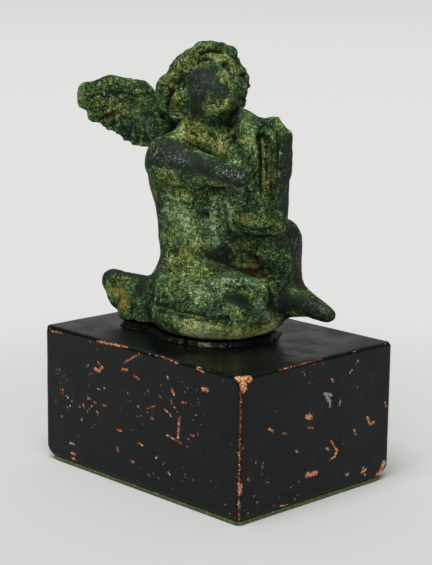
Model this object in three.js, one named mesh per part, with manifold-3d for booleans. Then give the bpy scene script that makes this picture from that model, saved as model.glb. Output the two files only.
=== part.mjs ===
// Bronze cupid kneeling with a harp, fixed with adhesive to a painted wood block that stands on a felt pad.
// Lengths are in millimetres and +Z is up. The origin is the centre of the felt's underside, +X is the way
// the cupid faces, along the block, and +Y is the cupid's left.

import * as THREE from 'three';
import Module from 'manifold-3d';
import { mergeVertices } from 'three/addons/utils/BufferGeometryUtils.js';

// The block and what is under and on it.
const BLOCK_LENGTH = 101.6;
const BLOCK_WIDTH = 76.2;
const BLOCK_HEIGHT = 49.3;
const BLOCK_CORNER = 1.8;
const BLOCK_EDGE = 0.9;
const FELT_THICKNESS = 1.5;
const FELT_INSET = 0.2;
const ADHESIVE_THICKNESS = 2.2;
const ADHESIVE_MARGIN = 1.8;
const ADHESIVE_EDGE = 0.9;

// The bronze, from its flat underside to the top of its hair, and where its middle stands on the block.
const FIGURE_HEIGHT = 103;
const FIGURE_FORWARD = 0;
const FIGURE_LEFT = 0;

// How finely the modelled surface is sampled, and how many triangles it keeps.
const SAMPLES_IN_HEIGHT = 72;
const SMOOTHING_ROUNDS = 3;
const FIGURE_TRIANGLES = 8800;

// Levels that follow from the sizes above.
const blockBottom = FELT_THICKNESS;
const blockTop = blockBottom + BLOCK_HEIGHT;
const figureBottom = blockTop + ADHESIVE_THICKNESS;

// Everything on the figure is given in hundredths of its height: forward, to its left, and up.
const HUNDREDTHS = 100;
const RIGHT = -1;
const LEFT = 1;
const SIDES = [RIGHT, LEFT];

const at = (forward, left, up) => new THREE.Vector3(forward, left, up);
const between = (a, b, share) => a.clone().lerp(b, share);
const degrees = (angle) => THREE.MathUtils.degToRad(angle);

// The pose: the joints of the trunk and limbs, the head's middle and the ground's.
const POSE = {
  hips: at(-9.5, 0, 15),
  belly: at(-9.6, 0, 32),
  chest: at(-11, 0, 48),
  collar: at(-10, 0, 58),
  skullBase: at(-6, -0.5, 73),
  head: at(-3.4, -1, 83.4),
  ground: at(0.4, 0, 5.6),
};
const ARMS = [
  {
    shoulder: at(-12, -13.6, 57.6),
    elbow: at(18.2, -7.4, 55.8),
    wrist: at(16.8, -4.4, 65),
    knuckles: at(14.8, -2.6, 70),
    reach: at(0.55, 0.2, 0.8),
    curl: at(0.2, 0.98, -0.1),
  },
  {
    shoulder: at(-12, 13.6, 57.6),
    elbow: at(8, 16.5, 50),
    wrist: at(6.5, 6.5, 61),
    knuckles: at(5, 1.6, 66.5),
    reach: at(0.6, -0.25, 0.75),
    curl: at(0.8, -0.1, 0.2),
  },
];
const FOLDED_LEG = {
  hip: at(-8, -8.5, 15),
  knee: at(21, -4, 15.6),
  shinTop: at(18, -6, 8),
  ankle: at(-18, -9.8, 8),
  ball: at(-37, -12.5, 9.6),
  toes: at(-41, -13.6, 12.4),
};
const RAISED_LEG = {
  hip: at(-5, 8.5, 20),
  knee: at(18, 12.2, 31.8),
  calf: at(15, 12, 24),
  ankle: at(21.3, 13.5, 13.2),
  toes: at(39.5, 14.5, 8.8),
};
const HEAD_SIZE = 27.5;
const HAIR_TURN = { roll: 2, pitch: -22, yaw: -20 };
const FACE_TURN = { roll: 2, pitch: -34, yaw: -20 };

// Distance to a round limb that tapers from radius ra at a to radius rb at b.
function limb(a, b, ra, rb = ra) {
  const axis = b.clone().sub(a);
  const lengthSquared = Math.max(axis.lengthSq(), 1e-9);
  const drop = ra - rb;
  const slopeSquared = Math.max(lengthSquared - drop * drop, 0);
  const inverse = 1 / lengthSquared;
  const distance = (x, y, z) => {
    const px = x - a.x;
    const py = y - a.y;
    const pz = z - a.z;
    const along = px * axis.x + py * axis.y + pz * axis.z;
    const past = along - lengthSquared;
    const qx = px * lengthSquared - axis.x * along;
    const qy = py * lengthSquared - axis.y * along;
    const qz = pz * lengthSquared - axis.z * along;
    const aside = qx * qx + qy * qy + qz * qz;
    const alongSquared = along * along * lengthSquared;
    const pastSquared = past * past * lengthSquared;
    const turn = Math.sign(drop) * drop * drop * aside;
    if (Math.sign(past) * slopeSquared * pastSquared > turn) {
      return Math.sqrt(aside + pastSquared) * inverse - rb;
    }
    if (Math.sign(along) * slopeSquared * alongSquared < turn) {
      return Math.sqrt(aside + alongSquared) * inverse - ra;
    }
    return (Math.sqrt(aside * slopeSquared * inverse) + along * drop) * inverse - ra;
  };
  const middle = between(a, b, 0.5);
  return { distance, middle, reach: Math.sqrt(lengthSquared) / 2 + Math.max(ra, rb), slope: 1 };
}

// A limb pressed flat across a direction, to the share thin of its round thickness.
function blade(a, b, ra, rb, across, thin) {
  const round = limb(a, b, ra, rb);
  const normal = across.clone().normalize();
  const stretch = 1 / thin - 1;
  const flatA = a.dot(normal);
  const run = b.clone().sub(a);
  const end = b.clone().addScaledVector(normal, run.dot(normal) * stretch);
  const stretched = limb(a, end, ra, rb);
  const distance = (x, y, z) => {
    const lift = (x * normal.x + y * normal.y + z * normal.z - flatA) * stretch;
    return stretched.distance(x + normal.x * lift, y + normal.y * lift, z + normal.z * lift) * thin;
  };
  return { distance, middle: round.middle, reach: round.reach, slope: thin };
}

// An ellipsoid with its own axes turned by a rotation.
function lump(center, radii, rotation = new THREE.Euler()) {
  const turn = new THREE.Matrix4().makeRotationFromEuler(rotation);
  const e = turn.elements;
  const distance = (x, y, z) => {
    const px = x - center.x;
    const py = y - center.y;
    const pz = z - center.z;
    const u = (px * e[0] + py * e[1] + pz * e[2]) / radii.x;
    const v = (px * e[4] + py * e[5] + pz * e[6]) / radii.y;
    const w = (px * e[8] + py * e[9] + pz * e[10]) / radii.z;
    const inner = Math.hypot(u, v, w);
    const steep = Math.hypot(u / radii.x, v / radii.y, w / radii.z);
    return steep < 1e-9 ? -Math.min(radii.x, radii.y, radii.z) : (inner * (inner - 1)) / steep;
  };
  return { distance, middle: center, reach: Math.max(radii.x, radii.y, radii.z), slope: 0.6 };
}

// A board with rounded edges, its sides along the axes.
function board(low, high, rounding) {
  const middle = between(low, high, 0.5);
  const half = high.clone().sub(low).multiplyScalar(0.5).subScalar(rounding);
  const distance = (x, y, z) => {
    const a = Math.abs(x - middle.x) - half.x;
    const b = Math.abs(y - middle.y) - half.y;
    const c = Math.abs(z - middle.z) - half.z;
    const outside = Math.hypot(Math.max(a, 0), Math.max(b, 0), Math.max(c, 0));
    return outside + Math.min(Math.max(a, b, c), 0) - rounding;
  };
  return { distance, middle, reach: half.length() + rounding * 2, slope: 1 };
}

// Clay that is built up and cut back stroke by stroke, each one blended into what is there.
class Clay {
  constructor() {
    this.strokes = [];
  }

  add(shape, blend = 1.6) {
    this.strokes.push({ shape, blend, cut: false });
    return this;
  }

  cut(shape, blend = 1) {
    this.strokes.push({ shape, blend, cut: true });
    return this;
  }

  // A row of limbs through the points, with the radius going from first to last.
  chain(points, first, last, blend) {
    for (let i = 0; i + 1 < points.length; i += 1) {
      const from = first + ((last - first) * i) / (points.length - 1);
      const to = first + ((last - first) * (i + 1)) / (points.length - 1);
      this.add(limb(points[i], points[i + 1], from, to), blend);
    }
    return this;
  }

  distance(x, y, z) {
    let d = 1e3;
    for (const { shape, blend, cut } of this.strokes) {
      const far = Math.hypot(x - shape.middle.x, y - shape.middle.y, z - shape.middle.z) - shape.reach;
      const limit = cut ? blend - d : blend + d;
      if (far * shape.slope <= limit) {
        const other = cut ? -shape.distance(x, y, z) : shape.distance(x, y, z);
        const overlap = Math.max(blend - Math.abs(d - other), 0);
        const fillet = (overlap * overlap) / (4 * Math.max(blend, 1e-6));
        d = cut ? Math.max(d, other) + fillet : Math.min(d, other) - fillet;
      }
    }
    return d;
  }

  box() {
    const box = new THREE.Box3();
    for (const { shape, cut } of this.strokes) {
      if (!cut) {
        const size = new THREE.Vector3().setScalar(shape.reach * 2);
        box.union(new THREE.Box3().setFromCenterAndSize(shape.middle, size));
      }
    }
    return box;
  }
}

// A place with its own axes, such as the head's: local points are shares of its size.
class Place {
  constructor(origin, size, rotation) {
    this.matrix = new THREE.Matrix4().makeRotationFromEuler(rotation).setPosition(origin);
    this.rotation = rotation;
    this.size = size;
  }

  point(forward, left, up) {
    return at(forward, left, up).multiplyScalar(this.size).applyMatrix4(this.matrix);
  }

  lump(forward, left, up, rx, ry = rx, rz = rx) {
    return lump(this.point(forward, left, up), at(rx, ry, rz).multiplyScalar(this.size), this.rotation);
  }
}

// Trunk, from the hips up to the neck, with the back's muscles and furrow.
function modelTrunk(clay) {
  clay.add(lump(POSE.hips, at(13.5, 16, 13)), 0);
  clay.add(lump(POSE.belly, at(13.4, 15.6, 16)), 6);
  clay.add(lump(POSE.chest, at(12.6, 16.4, 15)), 6);
  clay.add(limb(POSE.collar, POSE.skullBase, 9.6, 7.4), 5);
  for (const side of SIDES) {
    clay.add(lump(at(-13.6, side * 6.6, 12), at(9.4, 8, 10)), 3);
    clay.add(lump(at(-1.5, side * 6, 53), at(4, 5.5, 5)), 4);
    clay.add(lump(at(-17, side * 9, 54), at(6, 6.5, 8.5)), 4);
    clay.add(limb(at(-9, side * 2, 66), at(-11.5, side * 11, 60.5), 6), 4);
  }
  clay.cut(limb(at(-25.2, 0, 54), at(-24.6, 0, 24), 2, 1.6), 4);
}

// One arm, ending in a hand whose fingers are laid on the harp.
function modelArm(clay, { shoulder, elbow, wrist, knuckles, reach, curl }) {
  clay.add(limb(shoulder, elbow, 7.3, 3.7), 2.2);
  clay.add(limb(elbow, wrist, 4, 3), 1.6);
  clay.add(blade(wrist, knuckles, 3, 3.6, curl, 0.72), 1.4);
  const across = reach.clone().cross(curl).normalize();
  const fingers = 4;
  const spacing = 1.75;
  for (let i = 0; i < fingers; i += 1) {
    const root = knuckles.clone().addScaledVector(across, (i - (fingers - 1) / 2) * spacing);
    const joint = root.clone().addScaledVector(reach, 3.2);
    const tip = joint.clone().addScaledVector(reach, 1.8).addScaledVector(curl, 1.7);
    clay.chain([root, joint, tip], 1.25, 0.95, 0.35);
  }
}

// Right leg folded under the body with its foot out behind.
function modelFoldedLeg(clay, { hip, knee, shinTop, ankle, ball, toes }) {
  clay.add(limb(hip, knee, 10.6, 6), 6);
  clay.add(limb(shinTop, ankle, 6.2, 5.8), 3);
  clay.add(blade(ankle, ball, 8, 6.4, at(0.25, 1, 0), 0.62), 2);
  clay.add(lump(toes, at(3.6, 3, 3.8)), 3);
}

// Left leg raised, with its foot in front and the bronze filled in behind its shin.
function modelRaisedLeg(clay, { hip, knee, calf, ankle, toes }) {
  clay.add(limb(hip, knee, 11, 8), 5);
  clay.add(limb(knee, ankle, 7.5, 5.3), 1.6);
  clay.add(lump(calf, at(6.6, 6.2, 10)), 2);
  clay.add(limb(ankle, toes, 5.8, 2.7), 1.6);
  clay.add(lump(at(23, 13.4, 11.4), at(8.5, 5.4, 5.8)), 2);
  clay.add(limb(at(6, 5, 10), at(17, 10, 15), 8, 6.5), 4);
}

// Ground that the cupid kneels on, cast with it.
function modelGround(clay) {
  clay.add(lump(POSE.ground, at(24.6, 23.8, 9.6)), 3.5);
  clay.add(limb(at(-6, -10, 1), at(-30, -12.5, 1), 7, 4.5), 2);
  clay.add(limb(at(8, 8, 3), at(17.5, 11.5, 10), 7, 5), 3);
}

// Head: skull, cheeks and a plain child's face.
function modelHead(clay, head) {
  clay.add(head.lump(-0.04, 0, 0.06, 0.48, 0.4, 0.43), 3);
  clay.add(head.lump(0.12, 0, -0.16, 0.32, 0.32, 0.31), 3);
  clay.add(head.lump(0.31, 0, -0.37, 0.1), 2);
  clay.add(limb(head.point(0.405, 0, 0.05), head.point(0.47, 0, -0.095), 1, 1.6), 1.3);
  clay.add(limb(head.point(0.405, 0.075, -0.235), head.point(0.405, -0.075, -0.235), 0.95), 0.9);
  clay.add(limb(head.point(0.385, 0.05, -0.3), head.point(0.385, -0.05, -0.3), 1), 0.8);
  for (const side of SIDES) {
    clay.add(head.lump(0.23, side * 0.165, -0.17, 0.165), 1.5);
    clay.add(head.lump(0.43, side * 0.05, -0.11, 0.045), 0.8);
    clay.cut(head.lump(0.48, side * 0.155, 0.005, 0.1, 0.1, 0.075), 1.6);
    clay.add(head.lump(0.345, side * 0.155, 0, 0.07, 0.075, 0.055), 0.5);
    clay.add(limb(head.point(0.41, side * 0.06, 0.09), head.point(0.33, side * 0.23, 0.08), 0.8), 1.4);
  }
  clay.cut(limb(head.point(0.44, 0.085, -0.268), head.point(0.44, -0.085, -0.268), 0.4), 0.5);
}

// Hair: a cap of locks from the crown that ends in a thick roll of curls round the face.
function modelHair(clay, head) {
  clay.add(head.lump(-0.1, 0, 0.06, 0.46, 0.46, 0.46), 1.4);
  const crown = at(-0.11, 0, 0.08);
  const locks = 15;
  for (let i = 0; i < locks; i += 1) {
    const turn = (i / locks) * Math.PI * 2;
    const steps = Math.cos(turn) > 0.72 ? 2 : 4;
    const points = [];
    for (let j = 0; j <= steps; j += 1) {
      const fall = degrees(18 + 21 * j);
      const swirl = turn + 0.16 * Math.sin(j * 1.9 + i);
      const forward = crown.x + Math.cos(swirl) * Math.sin(fall) * 0.44;
      const left = Math.sin(swirl) * Math.sin(fall) * 0.45;
      points.push(head.point(forward, left, crown.z + Math.cos(fall) * 0.44));
    }
    clay.chain(points, 1.5, 1.9, 0.7);
  }
  const curls = 15;
  for (let i = 0; i < curls; i += 1) {
    const around = degrees(-128 + (256 * i) / (curls - 1));
    const left = Math.sin(around) * 0.44;
    const up = Math.cos(around) * 0.415 + 0.04;
    const forward = 0.17 + 0.08 * Math.cos(around) - 0.16 * Math.sin(around) ** 2;
    const swell = 0.085 + 0.02 * Math.sin(i * 2.3);
    clay.add(head.lump(forward, left, up, swell * 1.25, swell, swell), 0.7);
    clay.cut(head.lump(forward + 0.1, left * 1.02, up, 0.022), 0.6);
  }
  const tails = 3;
  for (const side of SIDES) {
    const width = side === RIGHT ? 0.49 : 0.46;
    for (let row = 0; row < 2; row += 1) {
      for (let i = 0; i < tails; i += 1) {
        const forward = -0.1 - 0.19 * row - 0.05 * i;
        const left = side * (width - 0.13 * row - 0.035 * i);
        clay.add(head.lump(forward, left, 0.1 - 0.14 * i, 0.145 - 0.012 * i), 0.9);
      }
    }
    clay.add(lump(at(-14, side * 11.9 - 0.5, 81), at(3.4, 3.4, 6)), 2);
  }
}

// One wing: a thick leading edge and two rows of feathers fanned out from it.
function modelWing(clay, side) {
  const root = at(-21.5, side * 8, 69);
  const span = at(-0.76, side * 0.65, 0);
  const across = at(0.65, side * 0.76, 0);
  const inWing = (out, up, lift = 0) => root.clone()
    .addScaledVector(span, out)
    .addScaledVector(across, lift)
    .add(at(0, 0, up));
  clay.add(limb(inWing(-7, -9), inWing(1, 1), 5, 4.2), 3);
  clay.chain([inWing(-4, -1), inWing(6, 12.6), inWing(17, 14.8), inWing(26.5, 11)], 3.6, 2.4, 1.2);
  clay.add(blade(inWing(1, 3), inWing(21, 8.5), 8, 5.5, across, 0.2), 1);
  const fan = { out: 5.5, up: 9.5 };
  const rows = [
    { feathers: 9, from: 10, to: -112, length: 1, lift: 0, width: 2.5 },
    { feathers: 7, from: 4, to: -104, length: 0.6, lift: 1, width: 2.2 },
    { feathers: 7, from: 4, to: -104, length: 0.6, lift: -1, width: 2.2 },
  ];
  for (const row of rows) {
    for (let i = 0; i < row.feathers; i += 1) {
      const angle = degrees(row.from + ((row.to - row.from) * i) / (row.feathers - 1));
      const outwards = Math.max(Math.cos(angle), 0) ** 5;
      const downwards = Math.sin(angle) ** 6;
      const reach = (13.2 + 10.8 * outwards + 3.6 * downwards) * row.length;
      const point = (share) => inWing(
        fan.out + Math.cos(angle) * reach * share,
        fan.up + Math.sin(angle) * reach * share,
        row.lift,
      );
      clay.add(blade(point(0.2), point(0.9), row.width * 0.8, row.width, across, 0.5), 0.6);
    }
  }
}

// Small harp that stands on the raised thigh against the chest, its strings left standing as ridges.
function modelHarp(clay) {
  const middle = 2.6;
  const head = at(28.9, middle, 70);
  clay.add(board(at(10, 0.9, 36), at(27.5, 4.3, 73), 1), 1);
  clay.chain([head, at(28.8, middle, 57), at(28, middle, 40)], 2, 2.1, 0.8);
  clay.chain([at(9.5, middle, 74.4), at(17, middle, 72.2), at(23.8, middle, 73.6), head], 2.1, 2, 0.8);
  clay.add(limb(at(10, middle, 74), at(11, middle, 40), 2.6, 4), 1);
  clay.add(limb(at(10, middle, 40), at(27.2, middle, 40), 3, 2.8), 1);
  clay.add(blade(at(0, 1, 46), at(12, middle, 46), 12, 10, at(0, 1, 0), 0.36), 4);
  clay.add(blade(at(-4, 0, 62), at(8, middle, 65), 10, 9, at(0, 1, 0), 0.42), 3);
  const strings = 5;
  for (let i = 0; i < strings; i += 1) {
    const top = 14.2 + 2.7 * i;
    const bottom = 15 + 2.3 * i;
    for (const side of SIDES) {
      const face = middle + side * 1.9;
      clay.add(limb(at(top, face, 70), at(bottom, face, 44), 0.95), 0.3);
    }
  }
}

// The whole figure in clay.
function modelCupid() {
  const clay = new Clay();
  const turned = ({ roll, pitch, yaw }) => new THREE.Euler(degrees(roll), degrees(pitch), degrees(yaw), 'ZYX');
  const face = new Place(POSE.head, HEAD_SIZE, turned(FACE_TURN));
  const hair = new Place(POSE.head, HEAD_SIZE, turned(HAIR_TURN));
  modelTrunk(clay);
  modelGround(clay);
  modelFoldedLeg(clay, FOLDED_LEG);
  modelRaisedLeg(clay, RAISED_LEG);
  modelHarp(clay);
  for (const arm of ARMS) {
    modelArm(clay, arm);
  }
  modelHead(clay, face);
  modelHair(clay, hair);
  for (const side of SIDES) {
    modelWing(clay, side);
  }
  return clay;
}

// For each way that the corners of a tetrahedron can lie in or out of the clay, the triangles to draw.
function triangleTable() {
  const middles = [[1, 3], [1, 5], [2, 3], [2, 6], [4, 5], [4, 6]];
  const tetrahedra = middles.map(([low, high]) => [0, low, high, 7]);
  const corner = (c) => at(c & 1, (c >> 1) & 1, (c >> 2) & 1);
  return tetrahedra.map((tetrahedron) => {
    const cases = [];
    for (let mask = 0; mask < 16; mask += 1) {
      const inside = tetrahedron.filter((c, i) => mask & (1 << i));
      const outside = tetrahedron.filter((c, i) => !(mask & (1 << i)));
      const [a, b, c, d] = [...inside, ...outside].map(corner);
      const edge1 = b.clone().sub(a);
      const edge2 = c.clone().sub(a);
      const edge3 = d.clone().sub(a);
      const upright = edge1.dot(edge2.cross(edge3)) > 0;
      const edges = inside.flatMap((i) => outside.map((o) => [Math.min(i, o), Math.max(i, o)]));
      let triangles = [];
      if (inside.length === 2) {
        triangles = [[edges[0], edges[1], edges[3]], [edges[0], edges[3], edges[2]]];
      } else if (inside.length === 1 || inside.length === 3) {
        triangles = [[edges[0], edges[1], edges[2]]];
      }
      cases.push(triangles.map((t) => (upright ? t : [t[0], t[2], t[1]])));
    }
    return { corners: tetrahedron, cases };
  });
}

// Surface of the clay, as a closed mesh on a lattice of tetrahedra.
function skinOf(clay, step) {
  const box = clay.box().expandByScalar(step * 1.5);
  const size = box.getSize(new THREE.Vector3());
  const [nx, ny, nz] = [size.x, size.y, size.z].map((length) => Math.ceil(length / step) + 1);
  const values = new Float64Array(nx * ny * nz);
  for (let k = 0; k < nz; k += 1) {
    for (let j = 0; j < ny; j += 1) {
      for (let i = 0; i < nx; i += 1) {
        values[i + nx * (j + ny * k)] = clay.distance(
          box.min.x + i * step,
          box.min.y + j * step,
          box.min.z + k * step,
        );
      }
    }
  }
  const offset = (c) => (c & 1) + nx * (((c >> 1) & 1) + ny * ((c >> 2) & 1));
  const known = new Int32Array(values.length * 8).fill(-1);
  const positions = [];
  const triangles = [];
  const table = triangleTable();
  const vertexOn = (cell, low, high) => {
    const from = cell + offset(low);
    const key = from * 8 + (high - low);
    if (known[key] < 0) {
      const to = cell + offset(high);
      const share = THREE.MathUtils.clamp(values[from] / (values[from] - values[to]), 0.1, 0.9);
      const i = from % nx;
      const j = Math.floor(from / nx) % ny;
      const k = Math.floor(from / (nx * ny));
      const way = high - low;
      known[key] = positions.length / 3;
      positions.push(
        box.min.x + (i + (way & 1) * share) * step,
        box.min.y + (j + ((way >> 1) & 1) * share) * step,
        box.min.z + (k + ((way >> 2) & 1) * share) * step,
      );
    }
    return known[key];
  };
  for (let k = 0; k + 1 < nz; k += 1) {
    for (let j = 0; j + 1 < ny; j += 1) {
      for (let i = 0; i + 1 < nx; i += 1) {
        const cell = i + nx * (j + ny * k);
        let inside = 0;
        for (let c = 0; c < 8; c += 1) {
          inside += values[cell + offset(c)] < 0 ? 1 : 0;
        }
        if (inside > 0 && inside < 8) {
          for (const { corners, cases } of table) {
            let mask = 0;
            corners.forEach((c, bit) => {
              mask |= values[cell + offset(c)] < 0 ? 1 << bit : 0;
            });
            for (const triangle of cases[mask]) {
              triangles.push(...triangle.map(([low, high]) => vertexOn(cell, low, high)));
            }
          }
        }
      }
    }
  }
  return { positions: Float64Array.from(positions), triangles: Int32Array.from(triangles) };
}

// Evens out the steps of the lattice, one pass inwards and one outwards so that nothing shrinks.
function relax({ positions, triangles }, rounds) {
  const count = positions.length / 3;
  const sums = new Float64Array(positions.length);
  const shares = new Float64Array(count);
  for (let pass = 0; pass < rounds * 2; pass += 1) {
    const pull = pass % 2 === 0 ? 0.5 : -0.52;
    sums.fill(0);
    shares.fill(0);
    for (let t = 0; t < triangles.length; t += 3) {
      for (let side = 0; side < 3; side += 1) {
        const from = triangles[t + side];
        const to = triangles[t + ((side + 1) % 3)];
        shares[from] += 1;
        for (let axis = 0; axis < 3; axis += 1) {
          sums[3 * from + axis] += positions[3 * to + axis];
        }
      }
    }
    for (let i = 0; i < positions.length; i += 1) {
      positions[i] += pull * (sums[i] / shares[Math.floor(i / 3)] - positions[i]);
    }
  }
  return { positions, triangles };
}

// Squared distances to the planes of the triangles round a vertex, summed as the ten terms of a quadric.
class Quadric {
  constructor() {
    this.terms = new Float64Array(10);
  }

  addPlane(a, b, c, d, weight) {
    const products = [a * a, a * b, a * c, a * d, b * b, b * c, b * d, c * c, c * d, d * d];
    products.forEach((product, i) => {
      this.terms[i] += product * weight;
    });
  }

  add(other) {
    for (let i = 0; i < 10; i += 1) {
      this.terms[i] += other.terms[i];
    }
  }

  at(x, y, z) {
    const q = this.terms;
    return q[0] * x * x + q[4] * y * y + q[7] * z * z + q[9]
      + 2 * (q[1] * x * y + q[2] * x * z + q[5] * y * z + q[3] * x + q[6] * y + q[8] * z);
  }
}

// Binary heap with the cheapest entry on top.
class Heap {
  constructor() {
    this.entries = [];
  }

  push(entry) {
    const list = this.entries;
    list.push(entry);
    let i = list.length - 1;
    while (i > 0) {
      const parent = (i - 1) >> 1;
      if (list[parent].cost <= list[i].cost) {
        break;
      }
      [list[parent], list[i]] = [list[i], list[parent]];
      i = parent;
    }
  }

  pop() {
    const list = this.entries;
    const top = list[0];
    const last = list.pop();
    if (list.length > 0) {
      list[0] = last;
      let i = 0;
      for (;;) {
        const left = 2 * i + 1;
        const right = left + 1;
        let least = i;
        if (left < list.length && list[left].cost < list[least].cost) {
          least = left;
        }
        if (right < list.length && list[right].cost < list[least].cost) {
          least = right;
        }
        if (least === i) {
          break;
        }
        [list[least], list[i]] = [list[i], list[least]];
        i = least;
      }
    }
    return top;
  }
}

// Fewer triangles for the same form: the edges whose loss changes the surface least are drawn together.
function simplify({ positions, triangles }, wanted) {
  const count = positions.length / 3;
  const point = Array.from({ length: count }, (_, v) => positions.slice(3 * v, 3 * v + 3));
  const faces = Array.from({ length: triangles.length / 3 }, (_, t) => [
    triangles[3 * t],
    triangles[3 * t + 1],
    triangles[3 * t + 2],
  ]);
  const around = Array.from({ length: count }, () => new Set());
  const quadric = Array.from({ length: count }, () => new Quadric());
  const stamp = new Int32Array(count);
  const normalOf = (p, q, r) => {
    const ux = q[0] - p[0];
    const uy = q[1] - p[1];
    const uz = q[2] - p[2];
    const vx = r[0] - p[0];
    const vy = r[1] - p[1];
    const vz = r[2] - p[2];
    return [uy * vz - uz * vy, uz * vx - ux * vz, ux * vy - uy * vx];
  };
  faces.forEach((face, t) => {
    const [p, q, r] = face.map((v) => point[v]);
    const n = normalOf(p, q, r);
    const length = Math.hypot(...n);
    for (const v of face) {
      around[v].add(t);
      if (length > 1e-12) {
        const [a, b, c] = n.map((value) => value / length);
        quadric[v].addPlane(a, b, c, -(a * p[0] + b * p[1] + c * p[2]), length);
      }
    }
  });
  const neighbours = (v) => {
    const found = new Set();
    for (const t of around[v]) {
      faces[t].forEach((w) => found.add(w));
    }
    found.delete(v);
    return found;
  };
  const heap = new Heap();
  const offer = (u, v) => {
    const sum = new Quadric();
    sum.add(quadric[u]);
    sum.add(quadric[v]);
    const span = Math.hypot(...point[u].map((value, i) => value - point[v][i]));
    let best = null;
    for (const share of [0.5, 0.25, 0.75, 0, 1]) {
      const place = point[u].map((value, i) => value + (point[v][i] - value) * share);
      const cost = Math.abs(sum.at(...place)) + 1e-4 * span ** 3;
      if (best === null || cost < best.cost) {
        best = { cost, place };
      }
    }
    heap.push({ cost: best.cost, place: best.place, u, v, stampU: stamp[u], stampV: stamp[v] });
  };
  const turnsOver = (v, other, place) => {
    for (const t of around[v]) {
      if (!faces[t].includes(other)) {
        const before = normalOf(...faces[t].map((w) => point[w]));
        const after = normalOf(...faces[t].map((w) => (w === v ? place : point[w])));
        const sizes = Math.hypot(...before) * Math.hypot(...after);
        const agreement = before[0] * after[0] + before[1] * after[1] + before[2] * after[2];
        if (sizes < 1e-12 || agreement < 0.3 * sizes) {
          return true;
        }
      }
    }
    return false;
  };
  for (let v = 0; v < count; v += 1) {
    for (const w of neighbours(v)) {
      if (v < w) {
        offer(v, w);
      }
    }
  }
  let left = faces.length;
  while (left > wanted && heap.entries.length > 0) {
    const { u, v, place, stampU, stampV } = heap.pop();
    if (stamp[u] === stampU && stamp[v] === stampV) {
      const near = neighbours(u);
      const shared = [...neighbours(v)].filter((w) => near.has(w));
      if (shared.length === 2 && !turnsOver(u, v, place) && !turnsOver(v, u, place)) {
        point[u] = place;
        quadric[u].add(quadric[v]);
        for (const t of around[v]) {
          if (faces[t].includes(u)) {
            faces[t].forEach((w) => around[w].delete(t));
            faces[t] = null;
            left -= 1;
          } else {
            faces[t] = faces[t].map((w) => (w === v ? u : w));
            around[u].add(t);
          }
        }
        around[v].clear();
        stamp[u] += 1;
        stamp[v] = -1;
        for (const w of neighbours(u)) {
          offer(u, w);
        }
      }
    }
  }
  const number = new Map();
  const keptPositions = [];
  const keptTriangles = [];
  for (const face of faces) {
    if (face) {
      for (const v of face) {
        if (!number.has(v)) {
          number.set(v, number.size);
          keptPositions.push(...point[v]);
        }
        keptTriangles.push(number.get(v));
      }
    }
  }
  return { positions: keptPositions, triangles: keptTriangles };
}

// A closed three.js geometry as a solid that can be cut, and a solid as a geometry.
function solidOf(geometry, wasm) {
  const bare = geometry.clone();
  bare.deleteAttribute('normal');
  bare.deleteAttribute('uv');
  const merged = mergeVertices(bare, 1e-5);
  return new wasm.Manifold(new wasm.Mesh({
    numProp: 3,
    vertProperties: Float32Array.from(merged.getAttribute('position').array),
    triVerts: Uint32Array.from(merged.getIndex().array),
  }));
}

function geometryOf(solid) {
  const { vertProperties, triVerts } = solid.getMesh();
  const geometry = new THREE.BufferGeometry();
  geometry.setAttribute('position', new THREE.BufferAttribute(vertProperties, 3));
  geometry.setIndex(new THREE.BufferAttribute(triVerts, 1));
  geometry.computeVertexNormals();
  return geometry;
}

// The bronze, cut flat below where the adhesive holds it.
function cupidGeometry(clay, wasm) {
  const sampled = relax(skinOf(clay, HUNDREDTHS / SAMPLES_IN_HEIGHT), SMOOTHING_ROUNDS);
  const { positions, triangles } = simplify(sampled, FIGURE_TRIANGLES);
  const skin = new THREE.BufferGeometry();
  skin.setAttribute('position', new THREE.Float32BufferAttribute(positions, 3));
  skin.setIndex(triangles);
  const share = FIGURE_HEIGHT / HUNDREDTHS;
  skin.scale(share, share, share);
  const wide = 4 * FIGURE_HEIGHT;
  const below = new THREE.BoxGeometry(wide, wide, FIGURE_HEIGHT);
  below.translate(0, 0, -FIGURE_HEIGHT / 2);
  return geometryOf(solidOf(skin, wasm).subtract(solidOf(below, wasm)));
}

// Outline of the bronze's footprint, pushed out by a margin, as a closed curve round its middle.
function footprint(clay, margin) {
  const share = FIGURE_HEIGHT / HUNDREDTHS;
  const steps = 48;
  const outermost = 60;
  const stride = 0.25;
  const radii = [];
  for (let i = 0; i < steps; i += 1) {
    const angle = (i / steps) * Math.PI * 2;
    const gap = (radius) => clay.distance(Math.cos(angle) * radius, Math.sin(angle) * radius, stride);
    let radius = outermost;
    while (radius > stride && gap(radius) > margin / share) {
      radius -= stride;
    }
    radii.push(radius * share);
  }
  const smooth = radii.map((radius, i) => {
    const before = radii[(i + steps - 1) % steps];
    const after = radii[(i + 1) % steps];
    return (before + 2 * radius + after) / 4;
  });
  return smooth.map((radius, i) => {
    const angle = (i / steps) * Math.PI * 2;
    return new THREE.Vector2(Math.cos(angle) * radius, Math.sin(angle) * radius);
  });
}

function adhesiveGeometry(clay) {
  const outline = new THREE.Shape(footprint(clay, ADHESIVE_MARGIN - ADHESIVE_EDGE));
  const geometry = new THREE.ExtrudeGeometry(outline, {
    depth: ADHESIVE_THICKNESS - 2 * ADHESIVE_EDGE,
    bevelThickness: ADHESIVE_EDGE,
    bevelSize: ADHESIVE_EDGE,
    bevelSegments: 1,
  });
  return geometry.translate(0, 0, ADHESIVE_EDGE);
}

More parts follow.
